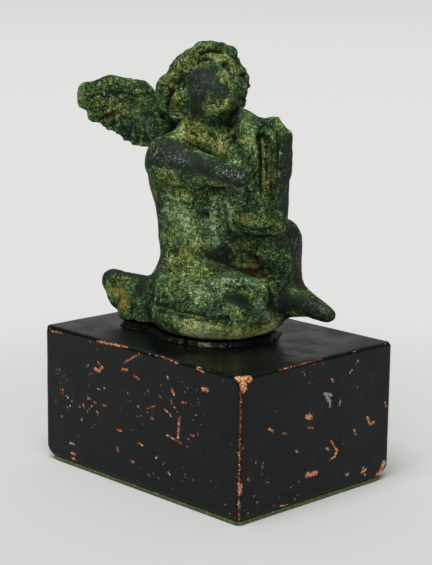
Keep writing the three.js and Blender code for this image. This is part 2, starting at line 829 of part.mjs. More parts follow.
// A slab with rounded upright corners and rounded top and bottom edges, standing on z = 0.
function slabGeometry(length, width, height, corner, edge, edgeSteps) {
  const halfLength = length / 2 - edge;
  const halfWidth = width / 2 - edge;
  const radius = Math.max(corner - edge, 0.05);
  const outline = new THREE.Shape();
  outline.moveTo(-halfLength + radius, -halfWidth);
  outline.lineTo(halfLength - radius, -halfWidth);
  outline.absarc(halfLength - radius, -halfWidth + radius, radius, -Math.PI / 2, 0);
  outline.lineTo(halfLength, halfWidth - radius);
  outline.absarc(halfLength - radius, halfWidth - radius, radius, 0, Math.PI / 2);
  outline.lineTo(-halfLength + radius, halfWidth);
  outline.absarc(-halfLength + radius, halfWidth - radius, radius, Math.PI / 2, Math.PI);
  outline.lineTo(-halfLength, -halfWidth + radius);
  outline.absarc(-halfLength + radius, -halfWidth + radius, radius, Math.PI, Math.PI * 1.5);
  const geometry = new THREE.ExtrudeGeometry(outline, {
    depth: height - 2 * edge,
    curveSegments: 4,
    bevelThickness: edge,
    bevelSize: edge,
    bevelSegments: edgeSteps,
  });
  return geometry.translate(0, 0, edge);
}

function piece(name, geometry, material, x, y, z) {
  const mesh = new THREE.Mesh(geometry, new THREE.MeshStandardMaterial(material));
  mesh.name = name;
  mesh.position.set(x, y, z);
  return mesh;
}

const wasm = await Module();
wasm.setup();

const cupidClay = modelCupid();
const cupid = new THREE.Group();

cupid.add(piece(
  'cupid_statuette',
  cupidGeometry(cupidClay, wasm),
  { color: 0x3c5238, roughness: 0.6, metalness: 0.45 },
  FIGURE_FORWARD,
  FIGURE_LEFT,
  figureBottom,
));
cupid.add(piece(
  'adhesive_bed',
  adhesiveGeometry(cupidClay),
  { color: 0x2a1a0c, roughness: 0.2, metalness: 0 },
  FIGURE_FORWARD,
  FIGURE_LEFT,
  blockTop,
));
cupid.add(piece(
  'wood_block',
  slabGeometry(BLOCK_LENGTH, BLOCK_WIDTH, BLOCK_HEIGHT, BLOCK_CORNER, BLOCK_EDGE, 3),
  { color: 0x17171a, roughness: 0.45, metalness: 0 },
  0,
  0,
  blockBottom,
));
cupid.add(piece(
  'felt_pad',
  slabGeometry(
    BLOCK_LENGTH - 2 * FELT_INSET,
    BLOCK_WIDTH - 2 * FELT_INSET,
    FELT_THICKNESS,
    BLOCK_CORNER,
    FELT_INSET,
    1,
  ),
  { color: 0x2f5a35, roughness: 1, metalness: 0 },
  0,
  0,
  0,
));

export default cupid;
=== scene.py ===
"""Looks of the bronze cupid statuette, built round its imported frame.

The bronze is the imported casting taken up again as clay: evened out, remeshed finely, carved with strokes
and pitted like cast metal. The adhesive, the painted block and the felt follow, each with its own finish.
Lengths are in metres unless a comment says millimetres. +X is the way the cupid faces, +Y its left, +Z up.
"""

import logging
import math
from dataclasses import dataclass, field
from enum import Enum

import bpy
import numpy as np
from mathutils import Matrix, Vector
from mathutils.bvhtree import BVHTree

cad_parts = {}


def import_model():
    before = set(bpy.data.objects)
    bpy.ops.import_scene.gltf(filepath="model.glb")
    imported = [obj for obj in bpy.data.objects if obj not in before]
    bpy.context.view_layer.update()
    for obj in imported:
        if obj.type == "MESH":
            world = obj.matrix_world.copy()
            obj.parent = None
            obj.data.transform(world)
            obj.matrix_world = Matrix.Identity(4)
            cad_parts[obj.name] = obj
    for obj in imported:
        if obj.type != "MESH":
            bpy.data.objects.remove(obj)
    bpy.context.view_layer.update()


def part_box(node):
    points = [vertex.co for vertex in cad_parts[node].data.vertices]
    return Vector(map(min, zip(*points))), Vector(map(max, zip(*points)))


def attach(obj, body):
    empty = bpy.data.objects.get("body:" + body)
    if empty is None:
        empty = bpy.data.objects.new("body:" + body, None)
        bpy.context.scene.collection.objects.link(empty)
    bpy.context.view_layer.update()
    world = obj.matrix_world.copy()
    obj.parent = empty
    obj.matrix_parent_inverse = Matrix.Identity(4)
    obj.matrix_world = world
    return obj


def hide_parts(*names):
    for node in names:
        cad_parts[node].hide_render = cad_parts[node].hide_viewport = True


LOG = logging.getLogger("cupid")
MM = 0.001
BODY = "root"

Pixel = tuple[float, float]
Colour = tuple[float, float, float, float]
Direction = tuple[float, float, float]
# A pixel of the picture across and down, or a point of the object in millimetres
Place = tuple[float, ...]
Line = tuple[Place, ...]
# Both ends of a chip in metres and its half width in millimetres
ChipLine = tuple[np.ndarray, np.ndarray, float]


def paint(red: int, green: int, blue: int) -> Colour:
    """Turn a colour in display values from 0 to 255 into the linear colour that shaders take.

    Args:
        red: Red value.
        green: Green value.
        blue: Blue value.

    Returns:
        Linear red, green, blue and an alpha of one.
    """
    def linear(value: int) -> float:
        """Linear share of one display value."""
        share = value / 255
        return share / 12.92 if share <= 0.04045 else ((share + 0.055) / 1.055) ** 2.4

    return linear(red), linear(green), linear(blue), 1.0


@dataclass(frozen=True)
class Viewpoint:
    """Where the camera stands, in millimetres, degrees and pixels. How far it sees is in metres."""

    focal: float = 1615.92
    yaw: float = 45.806
    pitch: float = 11.596
    roll: float = 0.7284
    distance: float = 579.176
    aim_height: float = 75.0
    aim_right: float = -0.2584
    aim_up: float = -5.5295
    width: float = 432.0
    height: float = 565.0
    sensor: float = 36.0
    farthest: float = 100.0

    def level_axes(self) -> tuple[Vector, Vector, Vector]:
        """Give the camera's axes before it is rolled.

        Returns:
            The level direction to the right, the upright one, and the one back from the object to the camera.
        """
        yaw, pitch = math.radians(self.yaw), math.radians(self.pitch)
        back = Vector((math.sin(yaw) * math.cos(pitch), -math.cos(yaw) * math.cos(pitch), math.sin(pitch)))
        level = Vector((math.cos(yaw), math.sin(yaw), 0.0))
        return level, back.cross(level), back

    def axes(self) -> tuple[Vector, Vector, Vector]:
        """Give the camera's own axes.

        Returns:
            The directions to the picture's right, to its top, and back from the object to the camera.
        """
        level, upright, back = self.level_axes()
        roll = math.radians(self.roll)
        right = level * math.cos(roll) + upright * math.sin(roll)
        top = -level * math.sin(roll) + upright * math.cos(roll)
        return right, top, back

    def eye(self) -> Vector:
        """Give the camera's place in metres."""
        level, upright, back = self.level_axes()
        aim = Vector((0.0, 0.0, self.aim_height)) + level * self.aim_right + upright * self.aim_up
        return (aim + back * self.distance) * MM

    def ray(self, pixel: Pixel) -> tuple[Vector, Vector]:
        """Give the line of sight through a pixel of the picture.

        Args:
            pixel: Pixel across and down.

        Returns:
            Where the line starts and its direction.
        """
        right, top, back = self.axes()
        across = (pixel[0] - self.width / 2) / self.focal
        rise = (self.height / 2 - pixel[1]) / self.focal
        return self.eye(), (right * across + top * rise - back).normalized()

    def place_camera(self) -> None:
        """Add the camera and make it the scene's."""
        right, top, back = self.axes()
        bpy.ops.object.camera_add(location=self.eye())
        camera = bpy.context.object
        camera.name = "camera"
        turned = Matrix((right, top, back)).transposed().to_4x4()
        camera.matrix_world = Matrix.Translation(self.eye()) @ turned
        camera.data.sensor_fit = "AUTO"
        camera.data.sensor_width = self.sensor
        camera.data.lens = self.focal * self.sensor / self.height
        camera.data.clip_end = self.farthest
        bpy.context.scene.camera = camera


VIEW = Viewpoint()


# Modelling helpers


def deselect() -> None:
    """Select nothing."""
    bpy.ops.object.select_all(action="DESELECT")


def activate(piece: bpy.types.Object) -> bpy.types.Object:
    """Select one object alone and make it active.

    Args:
        piece: The object.

    Returns:
        The same object.
    """
    deselect()
    piece.select_set(True)
    bpy.context.view_layer.objects.active = piece
    return piece


def apply_modifier(piece: bpy.types.Object, kind: str, **settings: object) -> None:
    """Add a modifier with its settings and apply it.

    Args:
        piece: The object to change.
        kind: The modifier's type.
        settings: Values of the modifier's properties.
    """
    activate(piece)
    modifier = piece.modifiers.new(kind.lower(), kind)
    for name, value in settings.items():
        setattr(modifier, name, value)
    bpy.ops.object.modifier_apply(modifier=modifier.name)


def roughen(piece: bpy.types.Object, name: str, size: float, height: float, layers: int = 2) -> None:
    """Push a surface in and out along its normals by cloudy noise.

    Args:
        piece: The object.
        name: The noise's name.
        size: Size of its swellings in millimetres.
        height: Height in millimetres from its deepest hollow to its highest crest.
        layers: How many finer layers it has.
    """
    texture = bpy.data.textures.new(name, "CLOUDS")
    texture.noise_scale = size * MM
    texture.noise_depth = layers
    apply_modifier(
        piece,
        "DISPLACE",
        texture=texture,
        texture_coords="LOCAL",
        direction="NORMAL",
        mid_level=0.5,
        strength=height * MM,
    )


def copy_of_node(node: str, name: str) -> bpy.types.Object:
    """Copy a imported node's mesh into a new object and join its loose triangles.

    Args:
        node: The node's name.
        name: The new object's name.

    Returns:
        The new object.
    """
    source = bpy.data.objects[node]
    piece = bpy.data.objects.new(name, source.data.copy())
    bpy.context.scene.collection.objects.link(piece)
    piece.data.materials.clear()
    activate(piece)
    bpy.ops.object.mode_set(mode="EDIT")
    bpy.ops.mesh.select_all(action="SELECT")
    bpy.ops.mesh.remove_doubles(threshold=1e-6)
    bpy.ops.mesh.customdata_custom_splitnormals_clear()
    bpy.ops.object.mode_set(mode="OBJECT")
    return piece


def finish_piece(piece: bpy.types.Object, material: bpy.types.Material, node: str) -> None:
    """Shade a piece, give it its material and tie it to the frame.

    Args:
        piece: The finished object.
        material: Its material.
        node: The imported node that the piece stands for.
    """
    activate(piece)
    bpy.ops.object.shade_smooth()
    piece.data.materials.clear()
    piece.data.materials.append(material)
    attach(piece, BODY)
    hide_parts(node)
    piece.data.calc_loop_triangles()
    LOG.info("%s: %d triangles", piece.name, len(piece.data.loop_triangles))


class Profile(Enum):
    """Section of a carving stroke."""

    ROUND = "round"
    SHARP = "sharp"

    def weigh(self, share: np.ndarray) -> np.ndarray:
        """Give the stroke's height over its half width.

        Args:
            share: Distance from the stroke's line as a share of its half width, from 0 to 1.

        Returns:
            Height as a share of the stroke's full height.
        """
        rest = 1 - share
        if self is Profile.SHARP:
            return rest ** 1.6
        return rest * rest * (3 - 2 * rest)


@dataclass(frozen=True)
class Stroke:
    """One stroke of carving, along a line through pixels of the picture or through points on the object.

    Sizes are in millimetres. A height above zero raises the surface, and one below zero cuts it.
    """

    line: Line
    half_width: float
    height: float
    profile: Profile = Profile.ROUND


@dataclass(frozen=True)
class Dab:
    """One touch of colour along a line, with its half width in millimetres and its strength."""

    line: Line
    half_width: float
    strength: float = 1.0


class Surface:
    """A mesh's points and normals as arrays, for carving and colouring it stroke by stroke."""

    def __init__(self, piece: bpy.types.Object) -> None:
        """Take up a mesh.

        Args:
            piece: The object, which sits at the origin.
        """
        self.piece = piece
        mesh = piece.data
        count = len(mesh.vertices)
        self.points = np.zeros(count * 3, np.float32)
        self.normals = np.zeros(count * 3, np.float32)
        mesh.vertices.foreach_get("co", self.points)
        mesh.vertices.foreach_get("normal", self.normals)
        self.points = self.points.reshape(-1, 3).astype(float)
        self.normals = self.normals.reshape(-1, 3).astype(float)
        self.tree = BVHTree.FromObject(piece, bpy.context.evaluated_depsgraph_get())
        edges = np.zeros(len(mesh.edges) * 2, np.int32)
        mesh.edges.foreach_get("vertices", edges)
        self.edges = edges.reshape(-1, 2)
        self.move = np.zeros_like(self.points)

    def find(self, place: Place) -> tuple[np.ndarray, np.ndarray] | None:
        """Find where a place lies on the surface.

        Args:
            place: A pixel of the picture, or a point of the object in millimetres.

        Returns:
            The surface's point and normal there, or nothing where the line of sight misses it.
        """
        if len(place) == 2:
            start, direction = VIEW.ray((place[0], place[1]))
            point, normal, _, _ = self.tree.ray_cast(start, direction)
        else:
            point, normal, _, _ = self.tree.find_nearest(Vector(place) * MM)
        return None if point is None else (np.array(point), np.array(normal))

    def nearness(self, line: Line, half_width: float) -> tuple[np.ndarray, np.ndarray]:
        """Find the points near a line on the surface.

        Args:
            line: Pixels or points that the line passes.
            half_width: How far the line reaches to each side, in millimetres.

        Returns:
            The numbers of the points and their distance as a share of the half width.
        """
        found = [hit for hit in (self.find(place) for place in line) if hit is not None]
        if not found:
            return np.zeros(0, int), np.zeros(0)
        places = np.array([hit[0] for hit in found])
        facing = np.mean([hit[1] for hit in found], axis=0)
        reach = half_width * MM
        low = places.min(axis=0) - reach
        high = places.max(axis=0) + reach
        near = np.nonzero(np.all((self.points > low) & (self.points < high), axis=1))[0]
        near = near[self.normals[near] @ facing > -0.1]
        cloud = self.points[near]
        least = np.full(len(near), np.inf)
        starts = places[:-1] if len(places) > 1 else places
        ends = places[1:] if len(places) > 1 else places
        for start, end in zip(starts, ends):
            axis = end - start
            length = max(float(axis @ axis), 1e-12)
            along = np.clip((cloud - start) @ axis / length, 0, 1)
            gap = np.linalg.norm(cloud - start - along[:, None] * axis, axis=1)
            least = np.minimum(least, gap)
        inside = least < reach
        return near[inside], least[inside] / reach

    def carve(self, stroke: Stroke) -> None:
        """Raise or cut the surface along a stroke.

        Args:
            stroke: The stroke.
        """
        near, share = self.nearness(stroke.line, stroke.half_width)
        height = stroke.profile.weigh(share) * stroke.height * MM
        self.move[near] += self.normals[near] * height[:, None]

    def carve_by(self, height: np.ndarray) -> None:
        """Raise the surface by a height given for each point.

        Args:
            height: Height of each point in metres.
        """
        self.move += self.normals * height[:, None]

    def write(self) -> None:
        """Put the carved points back into the mesh."""
        moved = (self.points + self.move).astype(np.float32)
        self.piece.data.vertices.foreach_set("co", moved.ravel())
        self.piece.data.update()

    def spread(self, values: np.ndarray, rounds: int) -> np.ndarray:
        """Even out values over the mesh by averaging each point with its neighbours.

        Args:
            values: One row per point.
            rounds: How often to average.

        Returns:
            The evened values.
        """
        count = len(self.points)
        first, second = self.edges[:, 0], self.edges[:, 1]
        share = np.bincount(first, minlength=count) + np.bincount(second, minlength=count) + 1.0
        result = values.astype(float).reshape(count, -1).copy()
        for _ in range(rounds):
            for column in range(result.shape[1]):
                line = result[:, column]
                total = line + np.bincount(first, line[second], minlength=count)
                total += np.bincount(second, line[first], minlength=count)
                result[:, column] = total / share
        return result.reshape(values.shape)

    def relief(self, rounds: int, full: float) -> np.ndarray:
        """Measure how far each point stands out of the evened surface.

        Args:
            rounds: How widely the surface is evened.
            full: Height in millimetres that counts as one.

        Returns:
            Relief of each point, above zero on crests and below zero in hollows.
        """
        evened = self.spread(self.points, rounds)
        height = np.einsum("ij,ij->i", self.points - evened, self.normals)
        return np.clip(height / (full * MM), -1, 1)

    def store(self, name: str, values: np.ndarray) -> None:
        """Keep one value per point in the mesh, for the shaders.

        Args:
            name: The attribute's name.
            values: One value per point.
        """
        attribute = self.piece.data.attributes.new(name, "FLOAT", "POINT")
        attribute.data.foreach_set("value", values.astype(np.float32))

    def channel(self, dabs: list[Dab], rounds: int) -> np.ndarray:
        """Lay touches of colour into one channel.

        Args:
            dabs: The touches.
            rounds: How often the channel is evened afterwards.

        Returns:
            The channel's value at each point, from 0 to 1.
        """
        values = np.zeros(len(self.points))
        for dab in dabs:
            near, share = self.nearness(dab.line, dab.half_width)
            values[near] = np.maximum(values[near], Profile.ROUND.weigh(share) * dab.strength)
        return self.spread(values, rounds)


# Shaders


class Tree:
    """A shader node tree, built node by node."""

    def __init__(self, tree: bpy.types.NodeTree) -> None:
        """Take up a tree.

        Args:
            tree: The node tree of a material or of a node group.
        """
        self.tree = tree

    def node(self, kind: str, inputs: dict | None = None, **settings: object) -> bpy.types.Node:
        """Add a node.

        Args:
            kind: The node's type without its ShaderNode prefix.
            inputs: Values or sockets for its inputs, by name or number.
            settings: Values of its properties.

        Returns:
            The node.
        """
        node = self.tree.nodes.new("ShaderNode" + kind)
        for name, value in settings.items():
            setattr(node, name, value)
        for name, value in (inputs or {}).items():
            self.feed(node.inputs[name], value)
        return node

    def feed(self, socket: bpy.types.NodeSocket, value: object) -> None:
        """Link a socket into an input, or set the input's own value.

        Args:
            socket: The input.
            value: A socket, or a plain value.
        """
        if isinstance(value, bpy.types.NodeSocket):
            self.tree.links.new(value, socket)
        else:
            socket.default_value = value

    def math(
        self,
        operation: str,
        first: object,
        second: object = 0.0,
        clamp: bool = False,
    ) -> bpy.types.NodeSocket:
        """Add a Math node and give its result.

        Args:
            operation: The operation's name.
            first: First value or socket.
            second: Second value or socket.
            clamp: Whether the result stays from 0 to 1.

        Returns:
            The result's socket.
        """
        node = self.node("Math", {0: first, 1: second}, operation=operation, use_clamp=clamp)
        return node.outputs[0]

    def ramp(
        self,
        value: object,
        low: float,
        high: float,
        first: float = 0.0,
        last: float = 1.0,
    ) -> bpy.types.NodeSocket:
        """Map a value smoothly from one range to another.

        Args:
            value: The value or socket.
            low: Where the result is first.
            high: Where the result is last.
            first: Result at low.
            last: Result at high.

        Returns:
            The result's socket.
        """
        node = self.node("MapRange", interpolation_type="SMOOTHSTEP")
        for number, item in enumerate((value, low, high, first, last)):
            self.feed(node.inputs[number], item)
        return node.outputs[0]

    def mix(self, share: object, first: object, second: object) -> bpy.types.NodeSocket:
        """Mix two colours.

        Args:
            share: Share of the second colour.
            first: First colour or socket.
            second: Second colour or socket.

        Returns:
            The mixed colour's socket.
        """
        node = self.node("Mix", data_type="RGBA")
        self.feed(node.inputs[0], share)
        self.feed(node.inputs[6], first)
        self.feed(node.inputs[7], second)
        return node.outputs[2]

    def noise(
        self,
        place: object,
        size: float,
        detail: float = 3.0,
        rough: float = 0.55,
    ) -> bpy.types.NodeSocket:
        """Add noise of a feature size.

        Args:
            place: Coordinates in metres.
            size: Size of its features in millimetres.
            detail: How many finer layers it has.
            rough: How strong the finer layers are.

        Returns:
            The noise's value.
        """
        inputs = {"Vector": place, "Scale": 1 / (size * MM), "Detail": detail, "Roughness": rough}
        return self.node("TexNoise", inputs).outputs[0]

    def bump(self, height: object, strength: float, distance: float) -> bpy.types.NodeSocket:
        """Turn heights into bumped normals.

        Args:
            height: The heights' socket.
            strength: Share of the effect.
            distance: Height of the bumps in millimetres.

        Returns:
            The normals' socket.
        """
        inputs = {"Height": height, "Strength": strength, "Distance": distance * MM}
        return self.node("Bump", inputs).outputs[0]

    def tones(self, value: object, colours: tuple[Colour, ...]) -> bpy.types.NodeSocket:
        """Map a value from 0 to 1 onto evenly spaced colours.

        Args:
            value: The value or socket.
            colours: Linear colours from the darkest on.

        Returns:
            The colour's socket.
        """
        node = self.node("ValToRGB", {0: value})
        stops = node.color_ramp.elements
        for _ in range(len(colours) - len(stops)):
            stops.new(0.5)
        for number, colour in enumerate(colours):
            stops[number].position = number / (len(colours) - 1)
        for number, colour in enumerate(colours):
            stops[number].color = colour
        return node.outputs[0]

    def attribute(self, name: str) -> bpy.types.NodeSocket:
        """Read one of the mesh's own values."""
        return self.node("Attribute", attribute_name=name, attribute_type="GEOMETRY").outputs["Fac"]

    def place(self) -> bpy.types.NodeSocket:
        """Give the Object coordinates."""
        return self.node("TexCoord").outputs["Object"]

    def group(self, tree: bpy.types.NodeTree, **inputs: object) -> bpy.types.Node:
        """Place a node group.

        Args:
            tree: The group's tree.
            inputs: Values or sockets by input name, with underscores for spaces.

        Returns:
            The group node.
        """
        node = self.tree.nodes.new("ShaderNodeGroup")
        node.node_tree = tree
        for name, value in inputs.items():
            self.feed(node.inputs[name.replace("_", " ")], value)
        return node


def new_material(name: str) -> tuple[bpy.types.Material, Tree, bpy.types.Node]:
    """Make a material with nodes.

    Args:
        name: The material's name.

    Returns:
        The material, its tree and its Principled shader.
    """
    material = bpy.data.materials.new(name)
    material.use_nodes = True
    return material, Tree(material.node_tree), material.node_tree.nodes["Principled BSDF"]


def new_group(
    name: str,
    takes: dict[str, tuple[str, object]],
    gives: dict[str, str],
) -> tuple[Tree, dict, dict]:
    """Make an empty node group with its sockets.

    Args:
        name: The group's name.
        takes: Socket type without its prefix and default value by input name.
        gives: Socket type by output name.

    Returns:
        The tree, its input sockets and the sockets that its outputs are fed through, both by name.
    """
    group = bpy.data.node_groups.new(name, "ShaderNodeTree")
    for title, (kind, value) in takes.items():
        socket = group.interface.new_socket(title, in_out="INPUT", socket_type="NodeSocket" + kind)
        if value is not None:
            socket.default_value = value
    for title, kind in gives.items():
        group.interface.new_socket(title, in_out="OUTPUT", socket_type="NodeSocket" + kind)
    entry = group.nodes.new("NodeGroupInput")
    leave = group.nodes.new("NodeGroupOutput")
    return Tree(group), {n: entry.outputs[n] for n in takes}, {n: leave.inputs[n] for n in gives}


def mottle_group() -> bpy.types.NodeTree:
    """Make the group that breaks a value up into blotches with crumbly edges.

    Returns:
        The group: it takes coordinates, how many blotches lie in a metre, how much of the surface they cover
        and how soft their edges are, and gives a mask.
    """
    takes = {
        "Place": ("Vector", None),
        "Scale": ("Float", 200.0),
        "Cover": ("Float", 0.5),
        "Softness": ("Float", 0.1),
    }
    contrast, shift = 2.6, -0.8
    tree, entry, leave = new_group("mottle", takes, {"Mask": "Float"})
    inputs = {"Vector": entry["Place"], "Scale": entry["Scale"], "Detail": 5.0, "Roughness": 0.62}
    spread = tree.math("MULTIPLY_ADD", tree.node("TexNoise", inputs).outputs[0], contrast)
    spread.node.inputs[2].default_value = shift
    edge = tree.math("SUBTRACT", 1.0, entry["Cover"])
    over = tree.math("SUBTRACT", spread, edge)
    soft = tree.math("DIVIDE", over, entry["Softness"])
    tree.feed(leave["Mask"], tree.math("ADD", soft, 0.5, clamp=True))
    return tree.tree


def tone_group() -> bpy.types.NodeTree:
    """Make the group that gives the patina its lightness: fine grain, clots and broad fields together.

    Returns:
        The group: it takes coordinates and a middle lightness, and gives the lightness at each place.
    """
    takes = {"Place": ("Vector", None), "Middle": ("Float", 0.4)}
    grain, clots, fields = (0.56, 3.0, 2.2), (1.5, 4.0, 1.1), (6.0, 3.0, 1.1)
    tree, entry, leave = new_group("patina_tone", takes, {"Tone": "Float"})
    total = entry["Middle"]
    for size, detail, weight in (grain, clots, fields):
        layer = tree.math("SUBTRACT", tree.noise(entry["Place"], size, detail, 0.7), 0.5)
        total = tree.math("ADD", total, tree.math("MULTIPLY", layer, weight))
    tree.feed(leave["Tone"], tree.math("MAXIMUM", total, 0.0, clamp=True))
    return tree.tree


@dataclass(frozen=True)
class Patina:
    """The bronze's finish: verdigris of many tones over metal rubbed dark on the high places, with painted
    shade in hollows and creases, painted light on shaded parts and painted highlights on the rubbed metal.
    """

    name: str = "bronze_patina"
    cool: tuple[Colour, ...] = (
        paint(8, 18, 10),
        paint(26, 48, 28),
        paint(66, 98, 56),
        paint(123, 150, 93),
        paint(202, 216, 174),
    )
    warm: tuple[Colour, ...] = (
        paint(12, 18, 6),
        paint(44, 54, 18),
        paint(96, 108, 48),
        paint(154, 164, 88),
        paint(212, 218, 158),
    )
    sea: Colour = paint(92, 142, 116)
    rust: Colour = paint(164, 142, 52)
    chalk: Colour = paint(206, 222, 194)
    rubbed: Colour = paint(22, 33, 24)
    # Painted highlight: pale specks laid on the rubbed metal where light glints.
    glint: Colour = paint(168, 178, 172)
    # Painted shade: near black laid into hollows, creases and recesses.
    painted_shade: Colour = paint(12, 16, 8)
    specular: float = 0.2

    def verdigris(self, tree: Tree, mottle: bpy.types.NodeTree) -> bpy.types.NodeSocket:
        """Colour the patina, with its sea-green, rusty and chalky touches, and with painted light and shade:
        lighter on crests and where the light channel lies, near black in hollows and where the painted-shade
        channel lies.

        Args:
            tree: The material's tree.
            mottle: The group for blotches.

        Returns:
            The colour's socket.
        """
        place, relief = tree.place(), tree.attribute("relief")

        def blotches(scale: float, cover: float, softness: float) -> bpy.types.NodeSocket:
            """Blotch mask of one size."""
            return tree.group(mottle, Place=place, Scale=scale, Cover=cover, Softness=softness).outputs[0]

        # The light channel lifts the patina's tone: partly its own paler patina, partly painted light where
        # the form lies in shade.
        middle = tree.math("ADD", tree.math("MULTIPLY", tree.attribute("light"), 0.2), 0.3)
        # Painted light and shade: crests a little lighter, hollows darker.
        middle = tree.math("ADD", middle, tree.math("MULTIPLY", relief, 0.12))
        tone = tree.group(tone_group(), Place=place, Middle=middle).outputs[0]
        hue = tree.math("ADD", blotches(150.0, 0.25, 0.8), tree.attribute("olive"), clamp=True)
        colour = tree.mix(hue, tree.tones(tone, self.cool), tree.tones(tone, self.warm))
        touches = (
            ("teal", blotches(1300.0, 0.5, 0.4), self.sea),
            ("ochre", blotches(1300.0, 0.55, 0.4), self.rust),
            ("pale", blotches(1000.0, 0.36, 0.12), self.chalk),
        )
        for channel, mask, touch in touches:
            colour = tree.mix(tree.math("MULTIPLY", tree.attribute(channel), mask), colour, touch)
        # Painted shade: hollows of the relief and the painted-shade channel darken towards near black.
        shade = tree.math("MAXIMUM", tree.ramp(relief, -0.1, -0.8), tree.attribute("painted_shade"))
        return tree.mix(tree.math("MULTIPLY", shade, 0.85), colour, self.painted_shade)

    def build(self, mottle: bpy.types.NodeTree) -> bpy.types.Material:
        """Make the material.

        Args:
            mottle: The group for blotches.

        Returns:
            The material.
        """
        material, tree, shader = new_material(self.name)
        colour = self.verdigris(tree, mottle)
        place = tree.place()
        grain = tree.noise(place, 0.8, 4.0, 0.7)
        ragged = tree.math("MULTIPLY", tree.math("SUBTRACT", grain, 0.5), 0.7)
        worn = tree.ramp(tree.math("ADD", tree.attribute("rub"), ragged), 0.15, 0.55)
        polish = tree.mix(tree.ramp(grain, 0.42, 0.7, 0.0, 0.45), self.rubbed, colour)
        # Painted highlights: pale specks where the glint channel lies.
        sparks = tree.math("MULTIPLY", tree.attribute("glint"), tree.ramp(grain, 0.5, 0.66))
        polish = tree.mix(sparks, polish, self.glint)
        tree.feed(shader.inputs["Base Color"], tree.mix(worn, colour, polish))
        tree.feed(shader.inputs["Roughness"], tree.math("SUBTRACT", 0.8, tree.math("MULTIPLY", worn, 0.26)))
        shader.inputs["Specular IOR Level"].default_value = self.specular
        pits = tree.noise(place, 0.45, 3.0, 0.7)
        height = tree.math("ADD", tree.math("MULTIPLY", grain, 0.7), tree.math("MULTIPLY", pits, 0.3))
        tree.feed(shader.inputs["Normal"], tree.bump(height, 0.6, 0.4))
        return material


@dataclass(frozen=True)
class Chip:
    """One chip in the block's paint, by the pixels of its two ends, with its half width in millimetres."""

    start: Pixel
    end: Pixel
    half_width: float


@dataclass(frozen=True)
class BlackPaint:
    """The block's finish: thin satin black paint over orange wood, chipped and worn at the edges."""

    name: str = "black_paint"
    coat: Colour = paint(9, 12, 12)
    haze: Colour = paint(20, 23, 23)
    wood: Colour = paint(196, 102, 46)
    pale_wood: Colour = paint(250, 216, 172)
    dark_wood: Colour = paint(104, 52, 28)
    primer: Colour = paint(150, 150, 148)
    specular: float = 0.16

    def bare_wood(self, tree: Tree, fibres: bpy.types.NodeSocket, dots: object) -> bpy.types.NodeSocket:
        """Colour the wood under the paint.

        Args:
            tree: The material's tree.
            fibres: Coordinates drawn out along the wood's grain.
            dots: Mask of the paint's smallest chips.

        Returns:
            The colour's socket.
        """
        wood = tree.mix(tree.ramp(tree.noise(fibres, 0.5, 4.0, 0.6), 0.44, 0.6), self.wood, self.pale_wood)
        wood = tree.mix(dots, wood, self.pale_wood)
        return tree.mix(tree.ramp(tree.noise(tree.place(), 1.2, 4.0, 0.7), 0.5, 0.64), wood, self.dark_wood)

    def build(self, mottle: bpy.types.NodeTree) -> bpy.types.Material:
        """Make the material.

        Args:
            mottle: The group for blotches.

        Returns:
            The material.
        """
        material, tree, shader = new_material(self.name)
        place = tree.place()
        fibres = tree.node("Mapping", {"Vector": place, "Scale": (0.12, 1.0, 1.0)}).outputs[0]

        # Masks of the chips, their rims, the small dots, the worn edges and the grey primer
        ragged = tree.math("MULTIPLY", tree.math("SUBTRACT", tree.noise(place, 0.8, 4.0, 0.8), 0.52), 2.6)
        inside = tree.math("ADD", tree.attribute("chip"), ragged)
        chipped = tree.ramp(inside, -0.02, 0.08)
        rims = tree.ramp(inside, -0.4, 0.0, 0.0, 0.9)
        dots = tree.group(mottle, Place=place, Scale=620.0, Cover=0.11, Softness=0.05).outputs[0]
        fields = tree.group(mottle, Place=place, Scale=55.0, Cover=0.34, Softness=0.3).outputs[0]
        dots = tree.math("MULTIPLY", dots, tree.math("MULTIPLY", fields, tree.attribute("flat_side")))
        edges = tree.math("MULTIPLY", tree.attribute("edge"), 0.3)
        edges = tree.ramp(tree.math("ADD", edges, tree.noise(place, 5.0, 7.0, 0.8)), 0.84, 0.88)
        bare = tree.math("MAXIMUM", chipped, tree.math("MAXIMUM", dots, edges), clamp=True)
        primer = tree.ramp(tree.math("ADD", tree.attribute("primer"), ragged), -0.02, 0.1)

        coat = tree.mix(tree.ramp(tree.noise(place, 9.0, 6.0, 0.7), 0.35, 0.85), self.coat, self.haze)
        coat = tree.mix(rims, coat, self.dark_wood)
        colour = tree.mix(bare, coat, self.bare_wood(tree, fibres, dots))
        tree.feed(shader.inputs["Base Color"], tree.mix(primer, colour, self.primer))
        gloss = tree.ramp(tree.noise(place, 14.0, 5.0, 0.6), 0.3, 0.7, 0.1, 0.4)
        tree.feed(shader.inputs["Roughness"], tree.math("MAXIMUM", gloss, tree.math("MULTIPLY", bare, 0.8)))
        shader.inputs["Specular IOR Level"].default_value = self.specular
        brushed = tree.math("MULTIPLY", tree.noise(fibres, 1.6, 5.0, 0.6), 0.9)
        tree.feed(shader.inputs["Normal"], tree.bump(tree.math("SUBTRACT", brushed, bare), 0.6, 0.22))
        return material


